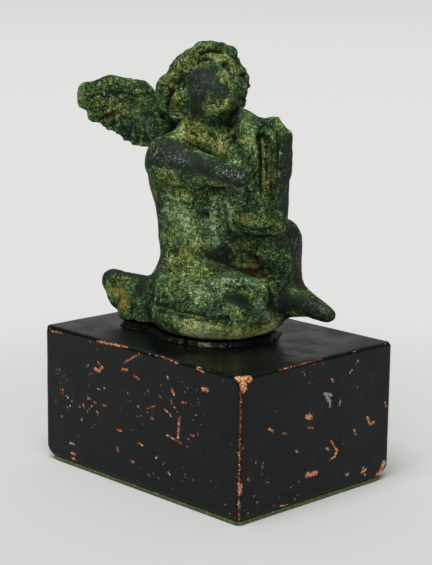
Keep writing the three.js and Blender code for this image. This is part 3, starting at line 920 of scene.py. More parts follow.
@dataclass(frozen=True)
class Amber:
    """The adhesive's finish: glossy and nearly black, with amber where it is thin."""

    name: str = "dark_adhesive"
    dark: Colour = paint(5, 5, 4)
    amber: Colour = paint(126, 84, 28)
    specular: float = 0.14
    coat_weight: float = 0.5
    coat_roughness: float = 0.28

    def build(self, mottle: bpy.types.NodeTree) -> bpy.types.Material:
        """Make the material.

        Args:
            mottle: The group for blotches.

        Returns:
            The material.
        """
        material, tree, shader = new_material(self.name)
        place = tree.place()
        blots = tree.group(mottle, Place=place, Scale=700.0, Cover=0.3, Softness=0.3).outputs[0]
        glow = tree.math("MULTIPLY", blots, tree.attribute("amber"))
        tree.feed(shader.inputs["Base Color"], tree.mix(glow, self.dark, self.amber))
        tree.feed(shader.inputs["Roughness"], tree.ramp(tree.noise(place, 1.6), 0.3, 0.7, 0.08, 0.3))
        shader.inputs["Specular IOR Level"].default_value = self.specular
        coat = tree.ramp(tree.attribute("amber"), 0.0, 0.5, 0.0, self.coat_weight)
        tree.feed(shader.inputs["Coat Weight"], coat)
        shader.inputs["Coat Roughness"].default_value = self.coat_roughness
        tree.feed(shader.inputs["Normal"], tree.bump(tree.noise(place, 1.5), 0.7, 0.8))
        return material


@dataclass(frozen=True)
class Felt:
    """The pad's finish: dull green felt."""

    name: str = "green_felt"
    green: Colour = paint(80, 106, 48)
    pale: Colour = paint(158, 170, 86)
    dark: Colour = paint(32, 50, 24)
    roughness: float = 0.95
    sheen: float = 0.1
    sheen_roughness: float = 0.6

    def build(self) -> bpy.types.Material:
        """Make the material.

        Returns:
            The material.
        """
        material, tree, shader = new_material(self.name)
        place = tree.place()
        fibres = tree.noise(place, 0.5, 5.0, 0.75)
        colour = tree.mix(tree.ramp(fibres, 0.35, 0.65), self.dark, self.green)
        colour = tree.mix(tree.ramp(tree.noise(place, 1.1, 4.0, 0.7), 0.52, 0.7), colour, self.pale)
        tree.feed(shader.inputs["Base Color"], colour)
        shader.inputs["Roughness"].default_value = self.roughness
        shader.inputs["Sheen Weight"].default_value = self.sheen
        shader.inputs["Sheen Roughness"].default_value = self.sheen_roughness
        tree.feed(shader.inputs["Normal"], tree.bump(fibres, 0.8, 0.4))
        return material


# Pieces


@dataclass
class Bronze:
    """The cast bronze: child, wings, harp and ground in one piece. Sizes are in millimetres."""

    node: str = "cupid_statuette"
    clay: float = 0.42
    evening_rounds: int = 8
    most_triangles: int = 190000
    head_centre: tuple[float, float, float] = (-3.5, -1.0, 138.9)
    head_size: float = 28.3
    head_turn: tuple[float, float, float] = (2.0, -22.0, -20.0)
    lock_height: float = 0.25
    strand_height: float = 0.12
    wing_root: tuple[float, float, float] = (-22.1, 8.2, 124.1)
    wing_face: float = 1.6
    feather_middle: tuple[float, float] = (5.5, 9.5)
    long_feathers: int = 9
    scale_rows: tuple[float, ...] = (7.0, 9.8, 12.6, 15.4)
    figure_share: float = 1.03
    strokes: list[Stroke] = field(default_factory=list)

    def __post_init__(self) -> None:
        """Lay out the strokes of carving that the picture shows."""
        self.carve_head()
        self.carve_fullness()
        self.carve_neck()
        self.carve_harp()
        self.carve_trunk()
        self.carve_lap()

    def carve_head(self) -> None:
        """Carve the hair rolled round the face, and a plain child's eyes, mouth and cheek."""
        cut, add = self.cut, self.add
        cut(0.8, 0.5, (160, 81), (165, 70), (176, 61), (190, 52), (202, 47))
        cut(0.7, 0.4, (168, 75), (173, 69), (182, 63), (190, 58))
        cut(1.2, 0.9, (202, 53), (211, 50), (221, 52))
        cut(1.0, 0.7, (198, 62), (205, 59), (212, 59))
        cut(1.2, 1.4, (173, 90), (167, 104), (163, 117))
        cut(0.8, 0.6, (159, 92), (161, 86), (166, 85), (170, 89), (169, 96), (164, 99))
        add(1.0, 0.5, (178, 72), (176, 81), (171, 86))
        add(1.1, 0.5, (166, 92))
        cut(1.0, 0.6, (181, 72), (180, 84), (177, 92))
        cut(2.0, 2.4, (225.5, 65))
        cut(0.9, 0.7, (228, 69), (230, 75))
        add(0.9, 0.5, (218, 75), (225, 80))
        cut(0.9, 0.5, (231, 50), (240, 64), (243, 81), (243, 99))
        cut(1.5, 1.5, (240, 75), (244, 75), (246, 75))
        add(2.0, 1.2, (244, 86), (247, 86))
        cut(1.5, 1.3, (240, 97), (243, 98), (245, 98))
        add(4.0, 1.8, (203, 121), (213, 125), (222, 129))
        add(5.5, 0.5, (197, 86))
        cut(1.9, 0.5, (208, 72))
        cut(0.6, 0.3, (214, 99), (222, 97))

    def carve_fullness(self) -> None:
        """Fill out the shoulder, chest, waist and rear foot, and slim the hip, as the picture shows them."""
        cut, add = self.cut, self.add
        add(7.0, 2.2, (158, 145), (170, 141), (180, 143))
        add(6.0, 2.3, (163, 238), (164, 252))
        add(5.0, 1.6, (112, 294), (117, 304), (124, 310))
        add(8.0, 2.2, (188, 128), (205, 138), (222, 150))
        cut(9.0, 1.9, (-17.0, -17.5, 58.0), (-17.0, -17.5, 68.0), (-17.0, -16.5, 78.0), (-16.0, -16.0, 86.0))
        add(3.4, 1.6, (165, 334), (195, 342), (235, 343), (268, 334))
        add(4.0, 0.6, (250, 296), (262, 300), (262, 312))

    def carve_neck(self) -> None:
        """Carve the far hand under the chin, the neck and the collar."""
        cut, add = self.cut, self.add
        cut(1.0, 1.1, (238, 108), (232, 116), (227, 126))
        cut(1.6, 0.6, (222, 114), (220, 129))
        add(1.0, 0.6, (232, 138), (229, 146), (227, 154))
        add(1.1, 0.5, (243, 147), (248, 156), (251, 164))
        cut(1.2, 0.6, (193, 133), (197, 135))
        cut(1.2, 0.5, (238, 146), (242, 158), (246, 168))

    def carve_harp(self) -> None:
        """Carve the harp's grooves and strings, its top, post and foot."""
        cut, add = self.cut, self.add
        grooves = ((253.5, 136, 186), (259, 146, 199), (264.5, 132, 180), (270, 140, 192), (276, 134, 186))
        for across, top, foot in grooves:
            bends = (across + 1.6, top + 20), (across + 0.4, foot - 16)
            cut(0.8, 0.5, (across, top), *bends, (across + 1.4, foot))
        for across, top, foot in ((256, 140, 190), (262, 134, 176), (267, 150, 205)):
            add(0.7, 0.35, (across, top), (across + 1.4, top + 24), (across, foot))
        add(2.0, 1.2, (253, 132), (258, 130), (264, 130), (270, 133))
        add(2.2, 2.2, (250, 136), (252, 160), (252, 186))
        add(3.6, 0.9, (286, 127), (289, 136), (289, 150), (289, 172))
        add(1.6, 0.7, (274, 119), (277, 119))
        cut(0.7, 0.4, (283, 132), (281, 160), (278, 200), (275, 236))
        cut(1.0, 0.5, (243, 227), (255, 230), (272, 228))
        cut(2.2, 1.2, (245, 234))
        cut(1.9, 1.0, (255, 258))
        cut(1.2, 0.4, (243, 195), (243, 215))
        add(0.8, 0.5, (263, 244), (258, 254), (254, 262))

    def carve_trunk(self) -> None:
        """Carve the trunk's ridge, hollows and belly."""
        cut, add = self.cut, self.add
        add(2.2, 0.5, (213, 202), (214, 222), (216, 243))
        cut(3.0, 0.4, (186, 203), (196, 209), (204, 216))
        cut(2.5, 0.4, (225, 205), (228, 225), (232, 240))
        add(4.0, 0.5, (175, 262), (195, 262), (210, 272))

    def carve_lap(self) -> None:
        """Carve the lap, the folded leg, the foot in front and the ground."""
        cut, add = self.cut, self.add
        cut(1.1, 0.9, (155, 304), (168, 306), (180, 311), (196, 313), (212, 318), (228, 318))
        cut(0.9, 0.7, (160, 311), (178, 316), (200, 320), (226, 324))
        cut(4.2, 0.6, (232, 300), (240, 303))
        add(1.3, 0.6, (222, 279), (235, 281), (250, 280), (264, 281))
        cut(1.6, 0.6, (225, 286), (240, 288), (252, 288))
        cut(3.0, 0.4, (200, 285), (215, 292))
        add(1.4, 0.2, (257, 304), (262, 309), (268, 315))
        cut(1.2, 0.8, (268, 288), (272, 300), (275, 312))

    def cut(self, half_width: float, depth: float, *line: Place) -> None:
        """Lay out a groove.

        Args:
            half_width: Half width in millimetres.
            depth: Depth in millimetres.
            line: Pixels or points that it passes.
        """
        self.strokes.append(Stroke(line, half_width, -depth))

    def add(self, half_width: float, height: float, *line: Place) -> None:
        """Lay out a ridge.

        Args:
            half_width: Half width in millimetres.
            height: Height in millimetres.
            line: Pixels or points that it passes.
        """
        self.strokes.append(Stroke(line, half_width, height))

    def model(self) -> bpy.types.Object:
        """Model the casting.

        Returns:
            The finished mesh's object.
        """
        piece = copy_of_node(self.node, "bronze_cupid")
        apply_modifier(piece, "SUBSURF", levels=1, render_levels=1)
        apply_modifier(piece, "REMESH", mode="VOXEL", voxel_size=self.clay * MM)
        apply_modifier(piece, "SMOOTH", factor=0.5, iterations=self.evening_rounds)
        surface = Surface(piece)
        for stroke in self.strokes:
            surface.carve(stroke)
        surface.carve_by(self.hair(surface.points))
        for stroke in self.feathers():
            surface.carve(stroke)
        surface.write()
        roughen(piece, "swell", 7, 0.5)
        roughen(piece, "cast_skin", 1.9, 0.3)
        piece.data.calc_loop_triangles()
        share = self.most_triangles / len(piece.data.loop_triangles)
        if share < 1:
            apply_modifier(piece, "DECIMATE", ratio=share)
        return piece

    def hair(self, points: np.ndarray) -> np.ndarray:
        """Give the height of the hair's locks, which run from the crown down and curl forward.

        Args:
            points: The surface's points in metres.

        Returns:
            Height at each point in metres.
        """
        roll, pitch, yaw = (math.radians(angle) for angle in self.head_turn)
        turn = Matrix.Rotation(yaw, 3, "Z") @ Matrix.Rotation(pitch, 3, "Y") @ Matrix.Rotation(roll, 3, "X")
        local = (points / MM - np.array(self.head_centre)) @ np.array(turn) / self.head_size
        radius = np.linalg.norm(local, axis=1)
        forward, left, up = (local[:, axis] / np.maximum(radius, 1e-6) for axis in range(3))
        around = np.arctan2(left, up)
        polar = np.arccos(np.clip(forward, -1, 1))
        # Rows of locks wander round the head, and strands run across them
        rows, locks_in_row, strands_round = 30, 10, 37
        wander = 1.1 * np.sin(around * 3 + 1) + 0.7 * np.sin(around * 7 + polar * 3)
        rolls = np.sin(polar * rows + wander)
        rolls *= 0.65 + 0.35 * np.sin(around * locks_in_row + polar * 6)
        strands = np.sin(around * strands_round + polar * 9 + np.sin(around * 7) * 1.4)
        head = np.clip((0.62 - radius) / 0.08, 0, 1) * np.clip((up + 0.62) / 0.2, 0, 1)
        uncovered = np.clip((polar - 1.12) / 0.25, 0, 1)
        return (self.lock_height * rolls + self.strand_height * strands) * head * uncovered * MM

    def feathers(self) -> list[Stroke]:
        """Lay out the feathers on both faces of both wings.

        Returns:
            The strokes.
        """
        strokes = []
        for side in (-1, 1):
            for face in (-self.wing_face, self.wing_face):
                strokes += self.feathers_of_face(side, face)
        return strokes

    def feathers_of_face(self, side: int, face: float) -> list[Stroke]:
        """Lay out grooves between the long feathers, rows of small raised ones and the groove of the rim.

        Args:
            side: 1 for the left wing and -1 for the right one.
            face: How far the face lies from the wing's middle.

        Returns:
            The strokes.
        """
        root = np.array(self.wing_root) * (1, side, 1)
        span = np.array((-0.76, side * 0.65, 0.0))
        across = np.array((0.65, side * 0.76, 0.0))

        def at(out: float, up: float) -> Place:
            """Point of the wing's face."""
            return tuple(root + (span * out + np.array((0.0, 0.0, up)) + across * face) * self.figure_share)

        def ray(angle: float, reaches: tuple[float, ...]) -> Line:
            """Line out from the middle that the feathers spread from."""
            out, up = self.feather_middle
            return tuple(at(out + math.cos(angle) * reach, up + math.sin(angle) * reach) for reach in reaches)

        strokes = []
        for number in range(self.long_feathers):
            line = ray(math.radians(3 - 14.5 * number), np.linspace(13.0, 23.0, 4))
            strokes.append(Stroke(line, 0.7, -0.4, Profile.SHARP))
        for row, reach in enumerate(self.scale_rows):
            in_row = 5 + 2 * row
            for number in range(in_row):
                angle = math.radians(8 - (124 / in_row) * (number + 0.5 * (row % 2)))
                strokes.append(Stroke(ray(angle, (reach, reach + 1.2)), 1.0, 0.55))
        rim = tuple(at(out, up) for out, up in ((7, 10.8), (16, 12.4), (24, 9.6)))
        strokes.append(Stroke(rim, 0.8, -0.35))
        return strokes

    def touches(self) -> dict[str, list[Dab]]:
        """List the patina's touches, as the picture shows them and in keeping on the hidden sides.

        Returns:
            The touches by channel: rubbed, light (paler patina and painted light), glinting (painted
                highlights), chalky, sea-green, olive, rusty and painted shade.
        """
        return {
            "rub": [
                Dab(((199, 78), (196, 92)), 6.6),
                Dab(((196, 96), (198, 113)), 4.4),
                Dab(((208, 76), (212, 84)), 4.0),
                Dab(((219, 88), (223, 92)), 4.0),
                Dab(((153, 150), (162, 146), (178, 147)), 4.2),
                Dab(((151, 156), (175, 159), (200, 165), (225, 173), (243, 180)), 5.6),
                Dab(((148, 165), (148, 180)), 3.0, 0.8),
                Dab(((290, 122), (289, 140), (287, 170), (284, 200), (281, 244)), 3.2, 1.2),
                Dab(((292, 232), (298, 255), (301, 285)), 5.0),
                Dab(((285, 302), (305, 305), (330, 318)), 6.0, 0.9),
                Dab(((229, 298), (243, 302)), 4.6, 0.65),
                Dab(((72, 88), (82, 79), (100, 76), (125, 77), (142, 85)), 2.6),
                Dab(((104, 276), (120, 271), (150, 277)), 2.8, 0.8),
                # This rub also paints shade: a dark rim along the hair's outline.
                Dab(((157, 80), (165, 66), (180, 52), (198, 42), (216, 39)), 1.8, 0.8),
                Dab(((-20.0, 16.0, 116.0), (-5.0, 20.0, 108.0), (8.0, 18.0, 104.0)), 6.0, 0.9),
                Dab(((-24.0, -16.0, 66.0), (-24.0, -6.0, 68.0)), 6.0, 0.7),
                Dab(((-24.0, 8.0, 66.0),), 6.0, 0.7),
            ],
            # Paler patina, and painted light on shaded parts such as the chest and the ground's underside.
            "light": [
                Dab(((184, 205), (186, 240), (188, 270)), 12.0),
                Dab(((213, 205), (216, 245)), 8.0),
                Dab(((226, 204), (228, 240)), 6.0, 1.8),
                Dab(((182, 124), (202, 134), (226, 152)), 7.5, 1.4),
                Dab(((168, 80), (176, 66), (192, 54), (212, 47), (228, 56), (238, 72)), 4.5, 0.45),
                Dab(((176, 92), (180, 113)), 3.2, 0.9),
                Dab(((164, 78), (168, 96)), 3.6, 0.7),
                Dab(((196, 335), (230, 337), (266, 331)), 3.4, 3.2),
                Dab(((205, 108), (225, 107)), 4.0, 1.2),
                Dab(((170, 285), (200, 290), (222, 290)), 9.0, 0.8),
                Dab(((186, 332), (230, 336), (272, 329)), 7.0, 2.3),
                Dab(((113, 292), (136, 300)), 6.0, 0.6),
                Dab(((164, 172),), 5.5),
                Dab(((230, 145), (234, 160)), 3.5, 0.8),
                Dab(((243, 219), (272, 222)), 3.0, 0.9),
                Dab(((250, 140), (253, 190)), 3.0, 1.2),
                Dab(((262, 140), (266, 185)), 2.0, 1.0),
                Dab(((250, 268), (266, 284)), 4.5, 0.9),
                Dab(((120, 105), (128, 112)), 6.0, 0.6),
                Dab(((-30.0, 4.0, 100.0), (-28.0, 0.0, 72.0)), 16.0, 0.8),
                Dab(((-8.0, 22.0, 84.0),), 14.0, 0.7),
                Dab(((-16.0, 4.0, 150.0), (-20.0, 0.0, 136.0)), 9.0, 0.7),
            ],
            # Painted highlights on the rubbed metal.
            "glint": [
                Dab(((153, 152), (168, 156), (184, 161)), 2.4),
                Dab(((219, 170), (232, 174), (243, 178)), 2.4),
                Dab(((192, 90), (200, 90)), 1.8, 0.7),
                Dab(((222, 89), (224, 90)), 1.6, 0.8),
                Dab(((280, 122), (282, 125)), 1.2, 0.8),
                Dab(((288, 128), (288, 131)), 1.0),
                Dab(((296, 240), (298, 262)), 1.2, 0.7),
                Dab(((312, 304), (326, 312)), 1.4, 0.6),
            ],
            "pale": [
                Dab(((213, 205), (214, 222), (216, 243)), 3.2, 0.7),
                Dab(((257, 304), (262, 309), (268, 316)), 2.0, 0.9),
                Dab(((224, 281), (245, 280), (262, 281)), 1.1, 0.9),
                Dab(((170, 236), (172, 250)), 4.0, 0.12),
                Dab(((202, 290), (216, 293)), 3.4, 0.35),
                Dab(((240, 192), (244, 200)), 3.0, 0.5),
            ],
            "teal": [
                Dab(((176, 210), (190, 222)), 6.0, 0.3),
                Dab(((214, 240), (216, 250)), 4.0, 0.6),
                Dab(((258, 306), (266, 314)), 2.6, 0.8),
                Dab(((202, 330), (212, 336)), 4.0, 0.6),
                Dab(((244, 122),), 2.2, 0.8),
                Dab(((248, 280), (256, 284)), 2.4, 0.7),
                Dab(((244, 194),), 2.4, 0.6),
                Dab(((138, 116), (146, 122)), 4.0, 0.3),
            ],
            "olive": [
                Dab(((195, 330), (230, 334), (268, 328)), 7.0),
                Dab(((165, 172), (172, 178)), 5.0, 0.9),
                Dab(((185, 122), (200, 135), (220, 150)), 5.5, 0.9),
                Dab(((176, 76), (186, 62), (202, 54), (222, 56), (236, 72)), 4.5, 0.9),
                Dab(((178, 95), (180, 112)), 4.0, 0.8),
                Dab(((207, 104), (226, 104)), 4.0, 0.8),
                Dab(((242, 222), (258, 222), (270, 221)), 3.0, 0.8),
                Dab(((262, 140), (272, 190)), 6.0, 0.7),
                Dab(((95, 105), (118, 108)), 6.0, 0.5),
                Dab(((178, 268), (190, 256)), 5.0, 0.6),
                Dab(((250, 268), (266, 280)), 4.5, 0.7),
                Dab(((-30.0, 0.0, 90.0), (-28.0, 0.0, 70.0)), 9.0, 0.7),
            ],
            "ochre": [
                Dab(((120, 292), (125, 303)), 3.6),
                Dab(((252, 266), (256, 266)), 2.0),
                Dab(((212, 182),), 1.2, 0.5),
                Dab(((243, 217), (246, 220)), 2.0, 0.8),
                Dab(((200, 196),), 1.6, 0.5),
                Dab(((219, 73),), 1.8, 0.9),
                Dab(((183, 251), (190, 254)), 3.0, 0.5),
            ],
            # Painted shade: creases, recesses, the eye, under the arm, along the flank and along the ground's
            # foot.
            "painted_shade": [
                Dab(((225.5, 65),), 2.6, 1.4),
                Dab(((197, 80), (197, 104)), 6.0, 0.4),
                Dab(((200, 168), (234, 177)), 3.6, 0.35),
                Dab(((206, 51), (218, 51)), 1.4, 0.7),
                Dab(((238, 108), (232, 116), (227, 126)), 1.8, 0.9),
                Dab(((222, 114), (220, 129)), 2.2, 0.5),
                Dab(((252, 138), (255, 190)), 1.4, 0.4),
                Dab(((259, 150), (262, 195)), 1.2, 0.6),
                Dab(((270, 145), (274, 215)), 3.6, 0.5),
                Dab(((245, 234),), 2.8),
                Dab(((255, 258), (258, 262)), 3.0),
                Dab(((173, 90), (167, 104), (163, 116)), 2.2),
                Dab(((155, 305), (180, 311), (212, 318)), 1.6, 0.6),
                Dab(((158, 308), (182, 314), (208, 319), (229, 321)), 3.2, 0.35),
                Dab(((158, 190), (160, 215), (162, 240), (162, 255), (155, 285)), 2.2, 0.5),
                Dab(((160, 330), (200, 343), (250, 340), (272, 332)), 1.4, 0.7),
                Dab(((236, 290), (246, 306)), 3.0, 0.5),
                Dab(((268, 290), (274, 310)), 3.0, 0.7),
            ],
        }

    def colour(self, piece: bpy.types.Object) -> None:
        """Lay the patina's channels on the finished mesh.

        Args:
            piece: The bronze.
        """
        surface = Surface(piece)
        surface.store("relief", surface.relief(rounds=24, full=0.45))
        for name, dabs in self.touches().items():
            surface.store(name, surface.channel(dabs, rounds=3))

    def build(self, material: bpy.types.Material) -> None:
        """Model, colour and place the bronze.

        Args:
            material: Its finish.
        """
        piece = self.model()
        self.colour(piece)
        finish_piece(piece, material, self.node)


@dataclass
class Adhesive:
    """The adhesive squeezed out round the foot of the bronze. Sizes are in millimetres."""

    node: str = "adhesive_bed"
    clay: float = 0.5
    # Height, number round the rim and start of each wave of lobes
    lobes: tuple[tuple[float, int, int], ...] = ((0.35, 17, 0), (0.5, 7, 1), (0.25, 31, 2))
    spread_below: float = 0.8
    drawn_in_above: float = 1.0
    rim_slope: float = 0.75
    amber: tuple[Dab, ...] = (
        Dab(((193, 343), (206, 345)), 2.6, 0.8),
        Dab(((172, 338), (180, 340)), 2.0, 0.8),
        Dab(((222, 348), (230, 348)), 1.4, 0.5),
    )

    def model(self) -> bpy.types.Object:
        """Model the adhesive with lobes round its rim, which slopes down to the block.

        Returns:
            The finished mesh's object.
        """
        piece = copy_of_node(self.node, "glossy_adhesive")
        apply_modifier(piece, "REMESH", mode="VOXEL", voxel_size=self.clay * MM)
        apply_modifier(piece, "SMOOTH", factor=0.5, iterations=4)
        surface = Surface(piece)
        low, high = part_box(self.node)
        rise = np.clip((surface.points[:, 2] - low.z) / (high.z - low.z), 0, 1)
        turn = np.arctan2(surface.points[:, 1], surface.points[:, 0])
        lobes = sum(height * np.sin(turn * count + start) for height, count, start in self.lobes)
        sideways = np.clip(1 - np.abs(surface.normals[:, 2]), 0, 1)
        slant = self.spread_below * (1 - rise) - self.drawn_in_above * rise
        surface.carve_by((lobes + slant) * sideways * MM)
        rim = np.clip(surface.spread(sideways, 10) / 0.45, 0, 1)
        surface.move[:, 2] -= rise * rim * self.rim_slope * (high.z - low.z)
        surface.write()
        roughen(piece, "drip", 3.2, 0.5, layers=1)
        return piece

    def build(self, material: bpy.types.Material) -> None:
        """Model, colour and place the adhesive.

        Args:
            material: Its finish.
        """
        piece = self.model()
        surface = Surface(piece)
        surface.store("amber", surface.channel(list(self.amber), rounds=1))
        finish_piece(piece, material, self.node)


@dataclass
class WoodBlock:
    """The painted block. Sizes are in millimetres."""

    node: str = "wood_block"
    cuts: int = 64
    finer_within: tuple[float, ...] = (1.8, 0.95, 0.5)
    edge_round: float = 1.3
    # How strongly the net's lines crowd towards the edges
    crowding: float = 0.6
    chip_depth: float = 0.12
    chip_slope: float = 0.3
    # Depth that stands for all places far from a chip
    least_depth: float = -3.0
    edge_wear: float = 1.3
    unworn_foot: float = 6.0
    foot_fade: float = 4.0
    dents: tuple[Stroke, ...] = (
        Stroke(((240.0, 381.0),), 2.4, -0.5),
        Stroke(((384.0, 470.0),), 2.2, -0.5),
        Stroke(((48.0, 328.0),), 2.0, -0.5),
    )
    # How far a worn corner's ball reaches, as a share of its size
    corner_reach: float = 1.43
    # Each worn corner's side along X, Y and Z, and the size of its ball
    worn_corners: tuple[tuple[tuple[int, int, int], float], ...] = (
        ((-1, -1, -1), 7.0),
        ((1, -1, -1), 3.0),
        ((1, 1, -1), 7.0),
        ((1, 1, 1), 4.0),
        ((-1, -1, 1), 3.0),
        ((-1, 1, 1), 7.0),
        ((-1, 1, -1), 8.0),
    )
    chips: tuple[Chip, ...] = (
        Chip((239, 379), (249, 379), 1.3),
        Chip((243, 379), (244, 389), 1.3),
        Chip((235, 378), (251, 379), 0.6),
        Chip((241, 391), (239, 487), 0.18),
        Chip((240, 486), (240, 493), 0.7),
        Chip((239, 498), (239, 519), 0.18),
        Chip((97, 341), (127, 347), 0.35),
        Chip((160, 356), (178, 363), 0.2),
        Chip((196, 368), (204, 372), 0.2),
        Chip((46, 326), (51, 331), 0.6),
        Chip((52, 331), (62, 333), 0.2),
        Chip((95, 369), (99, 371), 0.6),
        Chip((99, 371), (102, 367), 0.55),
        Chip((101, 366), (98, 362), 0.25),
        Chip((124, 363), (139, 354), 0.25),
        Chip((122, 369), (127, 370), 0.45),
        Chip((134, 376), (139, 379), 0.35),
        Chip((62.5, 389), (63, 394), 0.25),
        Chip((83, 404), (84, 407), 0.4),
        Chip((89, 397), (90, 399), 0.3),
        Chip((94, 402), (96, 403), 0.25),
        Chip((103, 405), (106, 406), 0.25),
        Chip((104, 388), (105, 389), 0.2),
        Chip((98, 389), (100, 390), 0.15),
        Chip((203, 389), (207, 390), 0.75),
        Chip((167, 376), (169, 379), 0.25),
        Chip((172, 390), (174, 394), 0.4),
        Chip((171, 400), (172, 404), 0.2),
        Chip((182, 402), (186, 403), 0.25),
        Chip((147, 390), (149, 392), 0.2),
        Chip((159, 396), (161, 398), 0.2),
        Chip((147, 409), (155, 406), 0.18),
        Chip((164, 409), (171, 416), 0.25),
        Chip((151, 417), (153, 419), 0.25),
        Chip((179, 419), (178, 438), 0.42),
        Chip((167, 435), (181, 443), 0.2),
        Chip((191, 435), (194, 436), 0.2),
        Chip((118, 430), (122, 431), 0.3),
        Chip((138, 443), (142, 445), 0.3),
        Chip((117, 448), (118, 451), 0.4),
        Chip((131, 461), (134, 462), 0.25),
        Chip((70, 443), (74, 444), 0.25),
        Chip((71, 453), (75, 454), 0.4),
        Chip((72, 458), (75, 459), 0.4),
        Chip((169, 473), (170, 475), 0.2),
        Chip((307, 417), (311, 418), 0.8),
        Chip((310, 413), (310, 417), 0.4),
        Chip((308, 428), (313, 428), 0.35),
        Chip((269, 429), (273, 431), 0.4),
        Chip((283, 433), (286, 434), 0.2),
        Chip((296, 451), (298, 452), 0.3),
        Chip((332, 379), (333, 381), 0.3),
        Chip((356, 364), (358, 361), 0.25),
        Chip((340, 400), (340, 405), 0.25),
        Chip((367, 417), (370, 424), 0.5),
        Chip((371, 424), (374, 422), 0.4),
        Chip((385, 402), (386, 406), 0.3),
        Chip((354, 430), (356, 434), 0.35),
        Chip((331, 441), (336, 449), 0.3),
        Chip((337, 450), (335, 456), 0.45),
        Chip((334, 457), (330, 460), 0.35),
        Chip((326, 448), (329, 450), 0.35),
        Chip((307, 475), (316, 473), 0.8),
        Chip((346, 475), (348, 474), 0.5),
        Chip((362, 472), (366, 469), 0.5),
        Chip((363, 468), (365, 475), 0.35),
        Chip((378, 475), (382, 470), 1.1),
        Chip((382, 470), (384, 463), 1.2),
        Chip((280, 506), (288, 505), 0.3),
        Chip((280, 370), (323, 358), 0.12),
    )
    primer: tuple[Chip, ...] = (
        Chip((324, 394), (331, 395), 0.6),
        Chip((327, 397), (330, 402), 0.75),
        Chip((330, 403), (330, 407), 0.5),
        Chip((350, 373), (352, 370), 0.35),
    )

    def shape(self, share: np.ndarray) -> np.ndarray:
        """Bring points of a plain cube onto the block, with its net crowded and its edges rounded.

        Args:
            share: The cube's points, from -1 to 1 along each axis.

        Returns:
            The block's points in metres.
        """
        low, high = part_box(self.node)
        half = np.array((high - low) / 2)
        corner = self.edge_round * MM
        eased = share + self.crowding * np.sin(share * math.pi) / math.pi
        inner = np.clip(eased * half, corner - half, half - corner)
        out = eased * half - inner
        length = np.maximum(np.linalg.norm(out, axis=1, keepdims=True), 1e-9)
        places = inner + out / length * corner
        for side, size in self.worn_corners:
            within = half - size * MM
            past = places * side - within
            reach = np.linalg.norm(past, axis=1)
            furthest = self.corner_reach * size * MM
            worn = np.all(past > 0, axis=1) & (reach > furthest)
            drawn_in = (furthest / reach[worn])[:, None]
            places[worn] = (within + past[worn] * drawn_in) * side
        return places + np.array((low + high) / 2)

    def lines(self, chips: tuple[Chip, ...]) -> list[ChipLine]:
        """Find where chips lie on the block.

        Args:
            chips: The chips.

        Returns:
            Both ends of each in metres and its half width in millimetres.
        """
        surface = Surface(bpy.data.objects[self.node])
        found = []
        for chip in chips:
            start, end = surface.find(chip.start), surface.find(chip.end)
            if start is not None and end is not None:
                found.append((start[0], end[0], chip.half_width))
        return found

    def depth_in(self, points: np.ndarray, lines: list[ChipLine]) -> np.ndarray:
        """Measure how deep inside the nearest chip each point lies.

        Args:
            points: The points in metres.
            lines: Both ends of each chip in metres and its half width in millimetres.

        Returns:
            Depth in millimetres, below zero outside the chips.
        """
        deepest = np.full(len(points), self.least_depth)
        for start, end, reach in lines:
            axis = end - start
            along = np.clip((points - start) @ axis / max(float(axis @ axis), 1e-12), 0, 1)
            gap = np.linalg.norm(points - start - along[:, None] * axis, axis=1)
            deepest = np.maximum(deepest, reach - gap / MM)
        return deepest

    def net(self, lines: list[ChipLine]) -> bpy.types.Object:
        """Cut a plain cube into a net of faces that is finest at the chips.

        Args:
            lines: Both ends of each chip in metres and its half width in millimetres.

        Returns:
            The cube's object, with points from -1 to 1 along each axis.
        """
        deselect()
        bpy.ops.mesh.primitive_cube_add(size=2)
        piece = bpy.context.object
        piece.name = "painted_block"
        bpy.ops.object.mode_set(mode="EDIT")
        bpy.ops.mesh.select_mode(type="FACE")
        bpy.ops.mesh.select_all(action="SELECT")
        bpy.ops.mesh.subdivide(number_cuts=self.cuts)
        for reach in self.finer_within:
            bpy.ops.mesh.select_all(action="DESELECT")
            bpy.ops.object.mode_set(mode="OBJECT")
            faces = piece.data.polygons
            centres = np.zeros(len(faces) * 3, np.float32)
            faces.foreach_get("center", centres)
            places = self.shape(centres.reshape(-1, 3).astype(float))
            faces.foreach_set("select", self.depth_in(places, lines) > -reach)
            bpy.ops.object.mode_set(mode="EDIT")
            bpy.ops.mesh.subdivide(number_cuts=1)
        bpy.ops.mesh.select_mode(type="VERT")
        bpy.ops.object.mode_set(mode="OBJECT")
        return piece

    def model(self) -> bpy.types.Object:
        """Model the block with its edges rounded, its corners worn and its chips sunk.

        Returns:
            The finished mesh's object.
        """
        chips, primer = self.lines(self.chips), self.lines(self.primer)
        piece = self.net(chips + primer)
        surface = Surface(piece)
        surface.move = self.shape(surface.points) - surface.points
        surface.write()
        surface = Surface(piece)
        for dent in self.dents:
            surface.carve(dent)
        depth = self.depth_in(surface.points, chips)
        surface.carve_by(np.clip(depth / self.chip_slope, 0, 1) * -self.chip_depth * MM)
        surface.write()
        surface.store("chip", depth)
        surface.store("primer", self.depth_in(surface.points, primer))
        surface.store("edge", self.wear(surface.points))
        surface.store("flat_side", np.clip(1 - np.abs(surface.normals[:, 2]) * 3, 0, 1))
        roughen(piece, "wavy_paint", 9, 0.12)
        return piece

